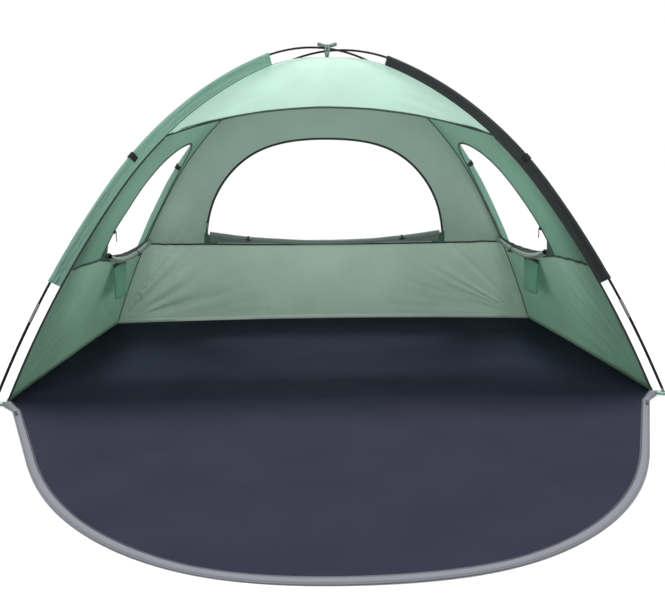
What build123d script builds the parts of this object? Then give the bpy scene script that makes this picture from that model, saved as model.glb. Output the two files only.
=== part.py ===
"""Half-dome beach shelter: two crossing poles in sleeves, a three-sided fabric body with windows,
a front awning, and a floor whose zip-up porch folds down in front.

Frame: +X to the right of someone looking in, +Y towards the back, +Z up.
The origin is on the ground, in the middle of the rectangular floor. Millimetres.
"""
from build123d import *
import os
from math import atan2, cos, hypot, pi, radians, sin, tan

os.makedirs("parts", exist_ok=True)

# Driving dimensions -----------------------------------------------------------------------------
FLOOR_WIDTH = 2200.0
FLOOR_DEPTH = 1320.0
SHEET = 2.0  # thickness of the floor and porch sheets

# The pole line, from the crown outwards: three tangent arcs as (radius, turn), then a straight leg.
POLE_ARCS = [(730.0, radians(24.7)), (1565.0, radians(28.0)), (3500.0, radians(12.0))]
LEG_STRAIGHT = 100.0
SEAM_INSET = 32.5  # from the pole's axis in to the corner seam of the fabric
SKIN = 3.0  # depth of the fabric skin, measured in the plane of a pole
SEAM_HEIGHT = 432.0  # seam between the lower walls and the window panels

POLE_RADIUS = 4.25
POLE_BORE = 2.75
FOOT_RADIUS = 4.75
FERRULE_LENGTH = 68.0
FERRULE_RADIUS = 5.4
POLE_STACK = 5.0  # one pole runs this far above the nominal line at the crown, the other below
FOOT_JOINT = 327.0  # from the ground up the leg to the first ferrule's middle

SLEEVE_TOP = 274.0  # from the crown to the upper end of a sleeve
SLEEVE_BOTTOM = 442.0  # from the ground to the lower end of a sleeve
SLEEVE_BORE = 5.8
SLEEVE_RADIUS = 7.3
SLEEVE_WEB = 3.0
GUY_LOOP_PLACE = 954.0  # from the crown to the webbing loop on a sleeve

HEM_MIDDLE = 998.0  # height of the awning's hem at its middle
HEM_END = 886.0  # and at its ends
HEM_END_X = 605.0
BINDING = 7.0  # width of the bindings round windows and hem
BINDING_PROUD = 1.0

PORCH_LENGTH = 1075.0
PORCH_HALF_WIDTH = 1085.0
PORCH_GAP = 0.5
PORCH_TAPE = 24.0

ROLL_RADIUS = 12.0
CLEAR = 0.3  # free space between parts that don't touch
PIN_CLEARANCE = 0.05  # radial, where one part turns on another

# Worked out from them ---------------------------------------------------------------------------
DIAGONAL = atan2(FLOOR_DEPTH, FLOOR_WIDTH)  # the poles stand over the floor's diagonals
CORNER_REACH = hypot(FLOOR_WIDTH, FLOOR_DEPTH) / 2
ARC_ENDS = []
for _radius, _turn in POLE_ARCS:
    ARC_ENDS.append((ARC_ENDS[-1] if ARC_ENDS else 0.0) + _radius * _turn)
HALF_POLE = ARC_ENDS[-1] + LEG_STRAIGHT
CORNERS = {
    "front_left": pi + DIAGONAL,
    "front_right": -DIAGONAL,
    "rear_left": pi - DIAGONAL,
    "rear_right": DIAGONAL,
}


def arch(distance):
    """Reach, drop below the crown, and slope of the pole line at a distance from the crown."""
    reach, drop, slope, left = 0.0, 0.0, 0.0, abs(distance)
    for radius, turn in POLE_ARCS:
        step = min(left, radius * turn)
        bend = slope + step / radius
        reach += radius * (sin(bend) - sin(slope))
        drop += radius * (cos(slope) - cos(bend))
        slope = bend
        left -= step
    reach += left * cos(slope)
    drop += left * sin(slope)
    return reach, drop, slope


CROWN = arch(HALF_POLE)[1]
LEG_SLOPE = arch(HALF_POLE)[2]
POLE_GROUND_REACH = arch(HALF_POLE)[0]


def pole_point(distance, lift=0.0):
    """Point of a pole's axis in its own plane, at a signed distance from the crown."""
    reach, drop, _ = arch(distance)
    return (reach if distance >= 0 else -reach, CROWN - drop + lift)


def seam_point(distance, inset):
    """Reach and height of a line that runs inset inside the pole's axis."""
    reach, drop, slope = arch(distance)
    return reach - inset * sin(slope), CROWN - drop - inset * cos(slope)


def seam_reach(height, inset=SEAM_INSET):
    """Reach of the corner seam along the diagonal at a height, by bisection."""
    near, far = 0.0, HALF_POLE + 60.0
    for _ in range(50):
        middle = (near + far) / 2
        if seam_point(middle, inset)[1] > height:
            near = middle
        else:
            far = middle
    return seam_point(near, inset)[0]


def upright_plane(azimuth):
    """Vertical plane through the middle of the floor: x runs out along azimuth, y runs up."""
    return Plane(origin=(0, 0, 0), x_dir=(cos(azimuth), sin(azimuth), 0),
                 z_dir=(sin(azimuth), -cos(azimuth), 0))


def save(piece, label):
    piece.part.label = label
    export_step(piece.part, f"parts/{label}.step")


# Fabric body ------------------------------------------------------------------------------------
# Each side of the body is a sheet that curves only in profile: its level lines are straight, and
# run from pole to pole. It is a profile pushed straight across and cut off at the diagonals.
PROFILE_STEPS = 14
INSET_STEPS = 12
# The left side is the right one mirrored.
SIDES = {  # side: plane of the profile, its sign there, level length, share of the diagonal reach
    "rear": (Plane.YZ, 1, FLOOR_WIDTH, sin(DIAGONAL)),
    "front": (Plane.YZ, -1, FLOOR_WIDTH, sin(DIAGONAL)),
    "right": (Plane.XZ, 1, FLOOR_DEPTH, cos(DIAGONAL)),
}
SEEN_FROM = {  # plane through the middle that shows a side straight on, facing out towards it
    "rear": Plane(origin=(0, 0, 0), x_dir=(-1, 0, 0), z_dir=(0, 1, 0)),
    "front": Plane.XZ,
    "right": Plane.YZ,
}


def skin_profile(side, outer, inner):
    """Profile of a side's sheet between two insets from the pole's axis."""
    plane, sign, _, share = SIDES[side]
    stations = [(HALF_POLE + 40.0) * step / PROFILE_STEPS for step in range(PROFILE_STEPS + 1)]
    outside = [seam_point(station, outer) for station in stations]
    inside = [seam_point(station, inner) for station in stations]
    with BuildSketch(plane) as profile:
        with BuildLine():
            top = Spline(*[(sign * share * reach, height) for reach, height in outside])
            bottom = Spline(*[(sign * share * reach, height) for reach, height in inside])
            Line(top @ 0, bottom @ 0)
            Line(top @ 1, bottom @ 1)
        make_face()
    return profile.sketch


def wedge_planes(side):
    """The two diagonal planes that bound a side, facing into it."""
    along = {"rear": pi / 2, "front": -pi / 2, "right": 0.0}[side]
    spread = DIAGONAL if side == "right" else pi / 2 - DIAGONAL
    planes = []
    for turn in (1, -1):
        edge = along + turn * spread
        facing = edge - turn * pi / 2
        planes.append(Plane(origin=(0, 0, 0), x_dir=(0, 0, 1), z_dir=(cos(facing), sin(facing), 0)))
    return planes


def inset_points(curve, amount, facing):
    """Points along a curve, moved sideways towards the inside of the outline it bounds."""
    points = []
    for step in range(INSET_STEPS + 1):
        place = step / INSET_STEPS
        points.append(curve @ place + (curve % place).cross(facing).normalized() * amount)
    return points


def window_sketch(side, shrink=0.0):
    """Outline of a window, on the plane that its side is seen straight on."""
    sill = SEAM_HEIGHT + 16.0 + shrink
    if side == "rear":
        with BuildSketch(SEEN_FROM[side]) as outline:
            with BuildLine():
                edge = Spline((600, SEAM_HEIGHT), (548, 640), (345, 862), (0, 931),
                              tangents=((-0.1, 1), (-1, 0)), mode=Mode.PRIVATE)
                inner = Spline(*inset_points(edge, shrink, Vector(0, 0, -1)))
                mirror(inner, about=Plane.YZ)
                Line(inner @ 0, (-(inner @ 0).X, (inner @ 0).Y))
            make_face()
            with Locations((0, sill)):
                Rectangle(FLOOR_WIDTH, FLOOR_WIDTH, align=(Align.CENTER, Align.MIN), mode=Mode.INTERSECT)
        return outline.sketch
    with BuildSketch(SEEN_FROM[side]) as outline:
        with BuildLine():
            edge = Spline((505, SEAM_HEIGHT), (458, 620), (385, 760), (290, 857), (165, 896), (30, 880),
                          (-90, 814), (-165, 700), (-198, 560), (-206, SEAM_HEIGHT), mode=Mode.PRIVATE)
            inner = Spline(*inset_points(edge, shrink, Vector(0, 0, -1)))
            Line(inner @ 0, inner @ 1)
        make_face()
        with Locations((0, sill)):
            Rectangle(FLOOR_WIDTH, FLOOR_WIDTH, align=(Align.CENTER, Align.MIN), mode=Mode.INTERSECT)
    return outline.sketch


def make_skin(side, region, outer=SEAM_INSET, inner=SEAM_INSET + SKIN):
    """The part of a side's sheet that shows inside a region seen straight on."""
    with BuildPart() as skin:
        extrude(region, amount=FLOOR_WIDTH)
        extrude(skin_profile(side, outer, inner), amount=SIDES[side][2], both=True, mode=Mode.INTERSECT)
    return skin


def level_band(side, low, high):
    """Region of a side between two heights."""
    with BuildSketch(SEEN_FROM[side]) as band:
        with Locations((0, low)):
            Rectangle(2 * SIDES[side][2], high - low, align=(Align.CENTER, Align.MIN))
    return band.sketch


def make_wall(side, low, high, window=False):
    region = level_band(side, low, high)
    if window:
        region = region - window_sketch(side)
    with BuildPart() as wall:
        add(make_skin(side, region).part)
        for diagonal in wedge_planes(side):
            split(bisect_by=diagonal, keep=Keep.TOP)
    return wall


def save_both_hands(piece, label):
    """Save a piece of the right side, and its mirror image for the left."""
    save(piece, f"{label}_right")
    with BuildPart() as other:
        mirror(piece.part, about=Plane.YZ)
    save(other, f"{label}_left")


save(make_wall("rear", SHEET, SEAM_HEIGHT), "rear_wall_lower")
save(make_wall("rear", SEAM_HEIGHT, CROWN, window=True), "rear_wall_upper")
save_both_hands(make_wall("right", SHEET, SEAM_HEIGHT), "side_wall_lower")
save_both_hands(make_wall("right", SEAM_HEIGHT, CROWN, window=True), "side_wall_upper")


def make_window_tape(side):
    """Zip tape that wraps the cut edge of a window, a little proud of the skin on both faces."""
    ring = window_sketch(side, CLEAR / 3) - window_sketch(side, BINDING)
    return make_skin(side, ring, SEAM_INSET - BINDING_PROUD, SEAM_INSET + SKIN + BINDING_PROUD)


save(make_window_tape("rear"), "window_zip_tape_rear")
save_both_hands(make_window_tape("right"), "window_zip_tape")


def hem_region(lowest, highest):
    """Band of the front seen straight on, between two drops below the hem's own arc."""
    middle, end, half = HEM_MIDDLE, HEM_END, HEM_END_X
    with BuildSketch(Plane.XZ) as region:
        with BuildLine():
            lower = ThreePointArc((-half, end - lowest), (0, middle - lowest), (half, end - lowest))
            if highest is None:
                Polyline(lower @ 1, (half, CROWN), (-half, CROWN), lower @ 0)
            else:
                upper = ThreePointArc((-half, end - highest), (0, middle - highest), (half, end - highest))
                Line(lower @ 0, upper @ 0)
                Line(lower @ 1, upper @ 1)
        make_face()
    return region.sketch


FRONT_CUTS = wedge_planes("front")

with BuildPart() as front_awning:
    add(make_skin("front", hem_region(0.0, None)).part)
    split(bisect_by=FRONT_CUTS[0], keep=Keep.TOP)
    split(bisect_by=FRONT_CUTS[1], keep=Keep.TOP)
save(front_awning, "front_awning")

with BuildPart() as hem_binding:
    add(make_skin("front", hem_region(BINDING, 0.0), SEAM_INSET - BINDING_PROUD,
                  SEAM_INSET + SKIN + BINDING_PROUD).part)
    split(bisect_by=FRONT_CUTS[0].offset(SLEEVE_WEB), keep=Keep.TOP)
    split(bisect_by=FRONT_CUTS[1].offset(SLEEVE_WEB), keep=Keep.TOP)
save(hem_binding, "awning_hem_binding")

# The doorway's own half of the porch zip runs down both front edges of the body.
DOOR_TAPE = 14.0
with BuildPart() as door_tape:
    add(make_skin("front", level_band("front", SHEET, HEM_END - 3 * BINDING)).part)
    split(bisect_by=FRONT_CUTS[0], keep=Keep.TOP)
    split(bisect_by=FRONT_CUTS[0].offset(DOOR_TAPE), keep=Keep.BOTTOM)
with BuildPart() as door_tapes:
    add(door_tape.part)
    mirror(door_tape.part, about=Plane.YZ)
save(door_tapes, "doorway_zip_tapes")


# Floor and porch --------------------------------------------------------------------------------
with BuildPart() as floor_panel:
    with BuildSketch():
        Rectangle(FLOOR_WIDTH, FLOOR_DEPTH)
    extrude(amount=SHEET)
save(floor_panel, "floor_panel")

PORCH_START = -FLOOR_DEPTH / 2 - PORCH_GAP
PORCH_HINGE_LINE = Plane(origin=(0, PORCH_START, 0), x_dir=(1, 0, 0), z_dir=(0, -1, 0))
PORCH_TURN = (830.0, -1155.0)  # where the straight sides run into the rounded front


def porch_sheet(inset):
    """Sheet inside the porch's outline, which runs in straight from the hinge and ends round."""
    with BuildPart() as sheet:
        with BuildSketch():
            with BuildLine():
                side = Line((PORCH_HALF_WIDTH, PORCH_START), PORCH_TURN, mode=Mode.PRIVATE)
                end = Spline(PORCH_TURN, (577, -1514), (300, -1692), (0, PORCH_START - PORCH_LENGTH),
                             tangents=(side % 1, (-1, 0)), mode=Mode.PRIVATE)
                curve = Spline(*inset_points(end, inset, Vector(0, 0, 1)))
                hinge_end = curve @ 0 - (side % 1) * (side.length + PORCH_TAPE)
                edge = Line(hinge_end, curve @ 0)
                mirror(curve, about=Plane.YZ)
                mirror(edge, about=Plane.YZ)
                Line(hinge_end, (-hinge_end.X, hinge_end.Y))
            make_face()
        extrude(amount=SHEET)
        split(bisect_by=PORCH_HINGE_LINE, keep=Keep.TOP)
    return sheet


porch_mat = porch_sheet(PORCH_TAPE)
save(porch_mat, "porch_mat")

with BuildPart() as porch_tape:
    add(porch_sheet(0.0).part)
    add(porch_mat.part, mode=Mode.SUBTRACT)
save(porch_tape, "porch_zip_tape")


# Poles ------------------------------------------------------------------------------------------
def pole_path(azimuth, start, end, lift=0.0):
    """Stretch of a pole's axis between two signed distances from the crown."""
    bends = [sign * stop for stop in ARC_ENDS for sign in (-1, 1)]
    stops = sorted([start, end] + [bend for bend in bends if start < bend < end])
    with BuildLine(upright_plane(azimuth)) as path:
        for here, there in zip(stops, stops[1:]):
            middle = (here + there) / 2
            if abs(middle) > ARC_ENDS[-1]:
                Line(pole_point(here, lift), pole_point(there, lift))
            else:
                ThreePointArc(pole_point(here, lift), pole_point(middle, lift), pole_point(there, lift))
    return path.line


def section_plane(azimuth, path):
    """Plane across a path at its start, with x pointing from the pole's axis to the inside."""
    across = upright_plane(azimuth).z_dir
    along = path % 0
    return Plane(origin=path @ 0, x_dir=along.cross(across), z_dir=along)


def make_tube(path, azimuth, outer, inner):
    with BuildPart() as tube:
        with BuildSketch(section_plane(azimuth, path)):
            Circle(outer)
            Circle(inner, mode=Mode.SUBTRACT)
        sweep(path=path)
    return tube


def corner_lift(corner):
    """How far the pole that ends at a corner runs above the nominal line."""
    return POLE_STACK if corner in ("front_left", "rear_right") else -POLE_STACK


def ground_distance(lift):
    """Distance from the crown to where a pole's axis would reach the ground."""
    return HALF_POLE + lift / sin(LEG_SLOPE)


POLES = {  # pole: azimuth of its front end, lift above the nominal line
    "left_pole": (CORNERS["front_left"], POLE_STACK),
    "right_pole": (CORNERS["front_right"], -POLE_STACK),
}
FOOT_END = 23.0  # from the ground up the leg to the foot section's lower end
MIDDLE_SECTIONS = 5
SECTION_LENGTH = 2 * (HALF_POLE - FOOT_JOINT) / MIDDLE_SECTIONS
SECTION_NAMES = ["rear_lower", "rear_upper", "crown", "front_upper", "front_lower"]

with BuildPart() as ferrules:
    for azimuth, lift in POLES.values():
        first = -(HALF_POLE - FOOT_JOINT)
        for joint in range(MIDDLE_SECTIONS + 1):
            middle = first + joint * SECTION_LENGTH
            path = pole_path(azimuth, middle - FERRULE_LENGTH / 2, middle + FERRULE_LENGTH / 2, lift)
            foot_joint = joint in (0, MIDDLE_SECTIONS)
            bore = FOOT_RADIUS if foot_joint else POLE_RADIUS
            add(make_tube(path, azimuth, FERRULE_RADIUS, bore + PIN_CLEARANCE).part)
save(ferrules, "pole_ferrules")

for pole_name, (azimuth, lift) in POLES.items():
    first = -(HALF_POLE - FOOT_JOINT)
    for number, section_name in enumerate(SECTION_NAMES):
        start = first + number * SECTION_LENGTH
        path = pole_path(azimuth, start + CLEAR / 2, start + SECTION_LENGTH - CLEAR / 2, lift)
        save(make_tube(path, azimuth, POLE_RADIUS, POLE_BORE), f"{pole_name}_{section_name}_section")
    for sign, end_name in ((1, "front"), (-1, "rear")):
        low, high = sign * (ground_distance(lift) - FOOT_END), sign * (HALF_POLE - FOOT_JOINT + CLEAR / 2)
        path = pole_path(azimuth, min(low, high), max(low, high), lift)
        save(make_tube(path, azimuth, FOOT_RADIUS, POLE_BORE), f"{pole_name}_{end_name}_foot_section")


# Sleeves ----------------------------------------------------------------------------------------
def make_sleeve(label, azimuth, lift):
    path = pole_path(azimuth, SLEEVE_TOP, HALF_POLE - SLEEVE_BOTTOM, lift)
    web_end = SEAM_INSET - CLEAR - abs(lift)
    with BuildPart() as sleeve:
        with BuildSketch(section_plane(azimuth, path)):
            Circle(SLEEVE_RADIUS)
            with Locations((web_end / 2, 0)):
                Rectangle(web_end, SLEEVE_WEB)
            Circle(SLEEVE_BORE, mode=Mode.SUBTRACT)
        sweep(path=path)
    save(sleeve, label)


for corner, azimuth in CORNERS.items():
    make_sleeve(f"pole_sleeve_{corner}", azimuth, corner_lift(corner))


# A loop of webbing for a guy line goes round each sleeve.
LOOP_WEBBING = 1.2
with BuildPart() as sleeve_loops:
    for corner, azimuth in CORNERS.items():
        lift = corner_lift(corner)
        path = pole_path(azimuth, GUY_LOOP_PLACE - 10, GUY_LOOP_PLACE + 10, lift)
        inside = SLEEVE_RADIUS + CLEAR
        with BuildSketch(section_plane(azimuth, path)) as band:
            Circle(inside + LOOP_WEBBING)
            with Locations((12, 0)):
                Rectangle(24, 2 * (inside + LOOP_WEBBING))
            Circle(inside, mode=Mode.SUBTRACT)
            with Locations((13, 0)):
                Rectangle(26, 2 * inside, mode=Mode.SUBTRACT)
        sweep(path=path)
save(sleeve_loops, "sleeve_webbing_loops")


# Corner fittings --------------------------------------------------------------------------------
# At each corner a webbing tab runs out under the pole. The pole's tip stands in its eyelet, and a
# peg ring turns in the fold at its end.
TAB_WIDTH = 30.0
WEBBING = 2.0
EYELET_SETBACK = 4.3  # the pole leans in by this much between the ground and its eyelet
EYELET_HOLE = 4.2
EYELET_WALL = 1.8
EYELET_LIP = 0.6
TAB_FLAT = 8.0  # height of the tab's underside at the eyelet
FOLD_RADIUS = 3.4
RING_WIRE = 2.0
RING_REACH = CORNER_REACH + 68.0
RING_HEIGHT = FOLD_RADIUS + 0.2
RING_LENGTH = 27.0
RING_HALF_WIDTH = 22.0
RING_BEND = 6.0


def eyelet_reach(corner):
    """Distance of a corner's eyelet from the middle of the floor."""
    return POLE_GROUND_REACH + corner_lift(corner) / tan(LEG_SLOPE) - EYELET_SETBACK


with BuildPart() as corner_tabs:
    for corner, azimuth in CORNERS.items():
        start, eyelet = CORNER_REACH + 2.0, eyelet_reach(corner)
        plane = upright_plane(azimuth)
        with BuildSketch(plane):
            with BuildLine():
                Polyline((start, 0.6), (start + 16, TAB_FLAT), (eyelet + 13, TAB_FLAT), (RING_REACH, 1.2),
                         (RING_REACH, 1.2 + WEBBING), (eyelet + 13.5, TAB_FLAT + WEBBING),
                         (start + 15, TAB_FLAT + WEBBING), (start, 0.6 + WEBBING), close=True)
            make_face()
            with Locations((RING_REACH, RING_HEIGHT)):
                Circle(FOLD_RADIUS)
                Circle(RING_WIRE + PIN_CLEARANCE, mode=Mode.SUBTRACT)
        extrude(amount=TAB_WIDTH / 2, both=True)
        with BuildSketch(Plane(origin=plane.x_dir * eyelet)):
            Circle(EYELET_HOLE + EYELET_WALL)
        extrude(amount=2 * TAB_FLAT, mode=Mode.SUBTRACT)
save(corner_tabs, "corner_webbing_tabs")

with BuildPart() as eyelets:
    for corner, azimuth in CORNERS.items():
        plane = upright_plane(azimuth)
        near = eyelet_reach(corner) + EYELET_HOLE
        low, high = TAB_FLAT, TAB_FLAT + WEBBING
        with BuildSketch(plane):
            with BuildLine():
                Polyline((near, low - EYELET_LIP), (near + 4.2, low - EYELET_LIP), (near + 4.2, low),
                         (near + EYELET_WALL, low), (near + EYELET_WALL, high), (near + 4.2, high),
                         (near + 4.2, high + EYELET_LIP), (near, high + EYELET_LIP), close=True)
            make_face()
        revolve(axis=Axis(plane.x_dir * eyelet_reach(corner), (0, 0, 1)))
save(eyelets, "corner_eyelets")

TIP_START = 2.0  # up the leg from the ground to the tip's end
TIP_SHOULDER = 15.0
TIP_RADIUS = 2.4
with BuildPart() as tips:
    for corner, azimuth in CORNERS.items():
        lift = corner_lift(corner)
        ground = ground_distance(lift)
        spigot = pole_path(azimuth, ground - TIP_SHOULDER, ground - TIP_START, lift)
        with BuildSketch(section_plane(azimuth, spigot)):
            Circle(TIP_RADIUS)
        sweep(path=spigot)
        cap = pole_path(azimuth, ground - FOOT_END, ground - TIP_SHOULDER, lift)
        with BuildSketch(section_plane(azimuth, cap)):
            Circle(FOOT_RADIUS)
        sweep(path=cap)
save(tips, "pole_tips")

for corner, azimuth in CORNERS.items():
    plane = upright_plane(azimuth)
    middle = plane.x_dir * (RING_REACH + RING_LENGTH / 2) + Vector(0, 0, RING_HEIGHT)
    half = RING_LENGTH / 2
    with BuildPart() as peg_ring:
        with BuildLine(Plane(origin=middle, x_dir=plane.x_dir, z_dir=(0, 0, 1))) as loop:
            FilletPolyline((half, RING_HALF_WIDTH), (half, -RING_HALF_WIDTH), (-half, -RING_HALF_WIDTH),
                           (-half, RING_HALF_WIDTH), radius=RING_BEND, close=True)
        with BuildSketch(Plane(origin=loop.line @ 0, z_dir=loop.line % 0)):
            Circle(RING_WIRE)
        sweep(path=loop.line)
    save(peg_ring, f"peg_ring_{corner}")


# Rolled window covers ---------------------------------------------------------------------------
# Each cover is rolled down on the inside below its window, tied up by loops with toggles.
ROLL_SAG = 50.0
TOGGLE_RADIUS = 3.5
TOGGLE_HALF = 16.0
CORD_RADIUS = 1.5
LOOP_RADIUS = ROLL_RADIUS + 0.5
LOOP_HALF_WIDTH = 5.0


OUTWARD = {"rear": Vector(0, 1, 0), "right": Vector(1, 0, 0), "left": Vector(-1, 0, 0)}


def wall_plane(side, along, height, inset, span):
    """Plane that lies against a side, at an inset from the pole's line: x level, y up the slope
    over the next span of height, z into the shelter."""
    outward = OUTWARD[side]
    share = sin(DIAGONAL) if side == "rear" else cos(DIAGONAL)
    foot = seam_reach(height, inset) * share
    rise = outward * (seam_reach(height + span, inset) * share - foot) + Vector(0, 0, span)
    level = Vector(0, 0, 1).cross(outward * -1)
    return Plane(origin=outward * foot + level * along + Vector(0, 0, height), x_dir=level,
                 z_dir=level.cross(rise))


def roll_plane(side, along, height):
    """Plane of a roll's axis: x runs level along the side, y up the wall, z into the shelter."""
    return wall_plane(side, along, height, SEAM_INSET + SKIN, ROLL_SAG).offset(ROLL_RADIUS + 5.0)


ROLLS = {  # side: level middle, half length, lowest height, places of the toggles along it
    "rear": (0.0, 575.0, 440.0, (-385.0, 385.0)),
    "left": (172.0, 345.0, 408.0, (150.0,)),
    "right": (-172.0, 345.0, 408.0, (-150.0,)),
}

for side_name, (along, half, height, _) in ROLLS.items():
    with BuildPart() as roll:
        with BuildLine(roll_plane(side_name, along, height)) as path:
            ThreePointArc((-half, ROLL_SAG), (0, 0), (half, ROLL_SAG))
        with BuildSketch(Plane(origin=path.line @ 0, z_dir=path.line % 0)):
            Circle(ROLL_RADIUS)
        sweep(path=path.line)
    save(roll, f"rolled_window_cover_{side_name}")


def toggle_plane(side, place):
    """Plane along a roll's axis at a toggle: x along the roll, z into the shelter."""
    along, half, height, _ = ROLLS[side]
    base = roll_plane(side, along, height)
    bend = (half * half + ROLL_SAG * ROLL_SAG) / (2 * ROLL_SAG)
    rise = (bend * bend - place * place) ** 0.5
    origin = base.from_local_coords((place, bend - rise, 0))
    return Plane(origin=origin, x_dir=base.x_dir * rise + base.y_dir * place, z_dir=base.z_dir)


TOGGLES = [(side, place) for side, roll in ROLLS.items() for place in roll[3]]
KNOT_GAP = 0.2
with BuildPart() as cover_loops:
    for side, place in TOGGLES:
        base = toggle_plane(side, place)
        ring_face = Plane(origin=base.origin, x_dir=base.z_dir, z_dir=base.x_dir)
        with BuildSketch(ring_face.offset(-LOOP_HALF_WIDTH)):
            Circle(LOOP_RADIUS + LOOP_WEBBING)
            Circle(LOOP_RADIUS, mode=Mode.SUBTRACT)
        extrude(amount=2 * LOOP_HALF_WIDTH)
        cord_start = LOOP_RADIUS + LOOP_WEBBING / 2
        cord_end = LOOP_RADIUS + LOOP_WEBBING + 2 * (TOGGLE_RADIUS + KNOT_GAP)
        with BuildSketch(base.offset(cord_start)):
            Circle(CORD_RADIUS)
        extrude(amount=cord_end - cord_start)
        with BuildSketch(base.offset(cord_end)):
            Circle(2 * CORD_RADIUS)
        extrude(amount=2 * CORD_RADIUS)
save(cover_loops, "cover_tie_loops")

for side, place in TOGGLES:
    base = toggle_plane(side, place)
    middle = base.offset(LOOP_RADIUS + LOOP_WEBBING + TOGGLE_RADIUS + KNOT_GAP)
    with BuildPart() as toggle:
        crosswise = Plane(origin=middle.origin, x_dir=middle.y_dir, z_dir=middle.x_dir)
        with BuildSketch(crosswise.offset(-TOGGLE_HALF)):
            Circle(TOGGLE_RADIUS)
        extrude(amount=2 * TOGGLE_HALF)
        with BuildSketch(middle.offset(-TOGGLE_RADIUS)):
            Circle(CORD_RADIUS + PIN_CLEARANCE)
        extrude(amount=2 * TOGGLE_RADIUS, mode=Mode.SUBTRACT)
    names = {("rear", True): "rear_left", ("rear", False): "rear_right"}
    save(toggle, "toggle_" + names.get((side, place < 0), side))


# Pockets ----------------------------------------------------------------------------------------
# A flat pouch hangs from each side wall, near the back, open at its top.
POCKET_WIDTH = 190.0
POCKET_HEIGHT = 155.0
POCKET_DEPTH = 22.0
POCKET_TOP = 388.0
POCKET_CLOTH = 2.0
POCKET_MIDDLE = 116.0  # its middle, back from the middle of the floor
for side, sign in (("left", -1), ("right", 1)):
    outer_face = seam_reach(POCKET_TOP + 8.0) * cos(DIAGONAL) - SKIN - 1.0
    with BuildPart() as pocket:
        with BuildSketch(Plane.XY.offset(POCKET_TOP - POCKET_HEIGHT)):
            with Locations((sign * (outer_face - POCKET_DEPTH / 2), POCKET_MIDDLE)):
                Rectangle(POCKET_DEPTH, POCKET_WIDTH)
        extrude(amount=POCKET_HEIGHT)
        offset(amount=-POCKET_CLOTH, openings=pocket.faces().sort_by(Axis.Z)[-1:])
    save(pocket, f"side_pocket_{side}")


# Crown tie --------------------------------------------------------------------------------------
# A tape sewn to the top of the body goes up round the crossing and is tied in a bow over it.
TIE_WIDTH = 12.0
TIE_TAPE = 1.2
TIE_SIDE = 11.5  # from the crown's axis to the tape on each side of the crossing
TIE_TOP = CROWN + POLE_STACK + POLE_RADIUS + 2 * CLEAR
BOW_HALF = 20.0
with BuildPart() as crown_tie:
    with BuildSketch(Plane.YZ):
        apex = CROWN - SEAM_INSET + CLEAR
        with Locations((0, apex)):
            Rectangle(2 * (TIE_SIDE + TIE_TAPE), TIE_TOP + TIE_TAPE - apex, align=(Align.CENTER, Align.MIN))
        with Locations((0, apex - 1)):
            Rectangle(2 * TIE_SIDE, TIE_TOP + 1 - apex, align=(Align.CENTER, Align.MIN), mode=Mode.SUBTRACT)
    extrude(amount=TIE_WIDTH / 2, both=True)
    with BuildSketch(Plane.XZ):
        for sign in (-1, 1):
            with Locations((sign * (BOW_HALF + 2), TIE_TOP + TIE_TAPE + 5)):
                Ellipse(BOW_HALF, 7)
                Ellipse(BOW_HALF - TIE_TAPE, 7 - TIE_TAPE, mode=Mode.SUBTRACT)
    extrude(amount=TIE_WIDTH / 2, both=True)
    with BuildSketch(Plane.XY.offset(TIE_TOP)):
        RectangleRounded(TIE_WIDTH, TIE_WIDTH, 3)
    extrude(amount=12)
save(crown_tie, "crown_tie")


# Zip sliders ------------------------------------------------------------------------------------
SLIDER_LENGTH = 14.0
SLIDER_WIDTH = 9.0
SLIDER_HEIGHT = 4.0
EAR_THICKNESS = 1.5
EAR_GAP = 5.4
PULL_PIN = 1.0
PULL_EYE = 2.2
PULL_AXIS = SLIDER_HEIGHT + PULL_EYE + 0.4
PULL_LENGTH = 30.0
PULL_WIDTH = 8.0
PULL_THICKNESS = 1.4
PORCH_SLIDER_PLACE = 115.0  # from the hinge along the porch's zip tape, clear of the doorway's tape


def add_slider(base):
    """Slider body, ears and pin on a base plane whose x runs along the zip and z off the cloth."""
    side_on = Plane(origin=base.origin, x_dir=base.x_dir, z_dir=-base.y_dir)
    with BuildPart() as slider:
        with BuildSketch(base):
            RectangleRounded(SLIDER_LENGTH, SLIDER_WIDTH, 2)
        extrude(amount=SLIDER_HEIGHT)
        for start in (-EAR_GAP / 2 - EAR_THICKNESS, EAR_GAP / 2):
            with BuildSketch(side_on.offset(start)):
                with Locations((0, PULL_AXIS - 2)):
                    Rectangle(2 * PULL_EYE, 2 * PULL_EYE)
            extrude(amount=EAR_THICKNESS)
        with BuildSketch(side_on.offset(-EAR_GAP / 2)):
            with Locations((0, PULL_AXIS)):
                Circle(PULL_PIN)
        extrude(amount=EAR_GAP)
    return slider


def add_pull(base):
    """Pull tab that turns on a slider's pin, lying along the base plane's +x."""
    side_on = Plane(origin=base.origin, x_dir=base.x_dir, z_dir=-base.y_dir)
    half_eye = EAR_GAP / 2 - CLEAR
    with BuildPart() as pull:
        with BuildSketch(side_on.offset(-half_eye)):
            with Locations((0, PULL_AXIS)):
                Circle(PULL_EYE)
            with Locations((0, PULL_AXIS)):
                Rectangle(2 * PULL_EYE + 2, PULL_THICKNESS, align=(Align.MIN, Align.CENTER))
            with Locations((0, PULL_AXIS)):
                Circle(PULL_PIN + PIN_CLEARANCE, mode=Mode.SUBTRACT)
        extrude(amount=2 * half_eye)
        with BuildSketch(base.offset(PULL_AXIS - PULL_THICKNESS / 2)):
            with Locations((2 * PULL_EYE + PULL_LENGTH / 2, 0)):
                RectangleRounded(PULL_LENGTH, PULL_WIDTH, 2)
            with Locations((2 * PULL_EYE + PULL_LENGTH - 5, 0)):
                Circle(2, mode=Mode.SUBTRACT)
        extrude(amount=PULL_THICKNESS)
    return pull


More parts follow.
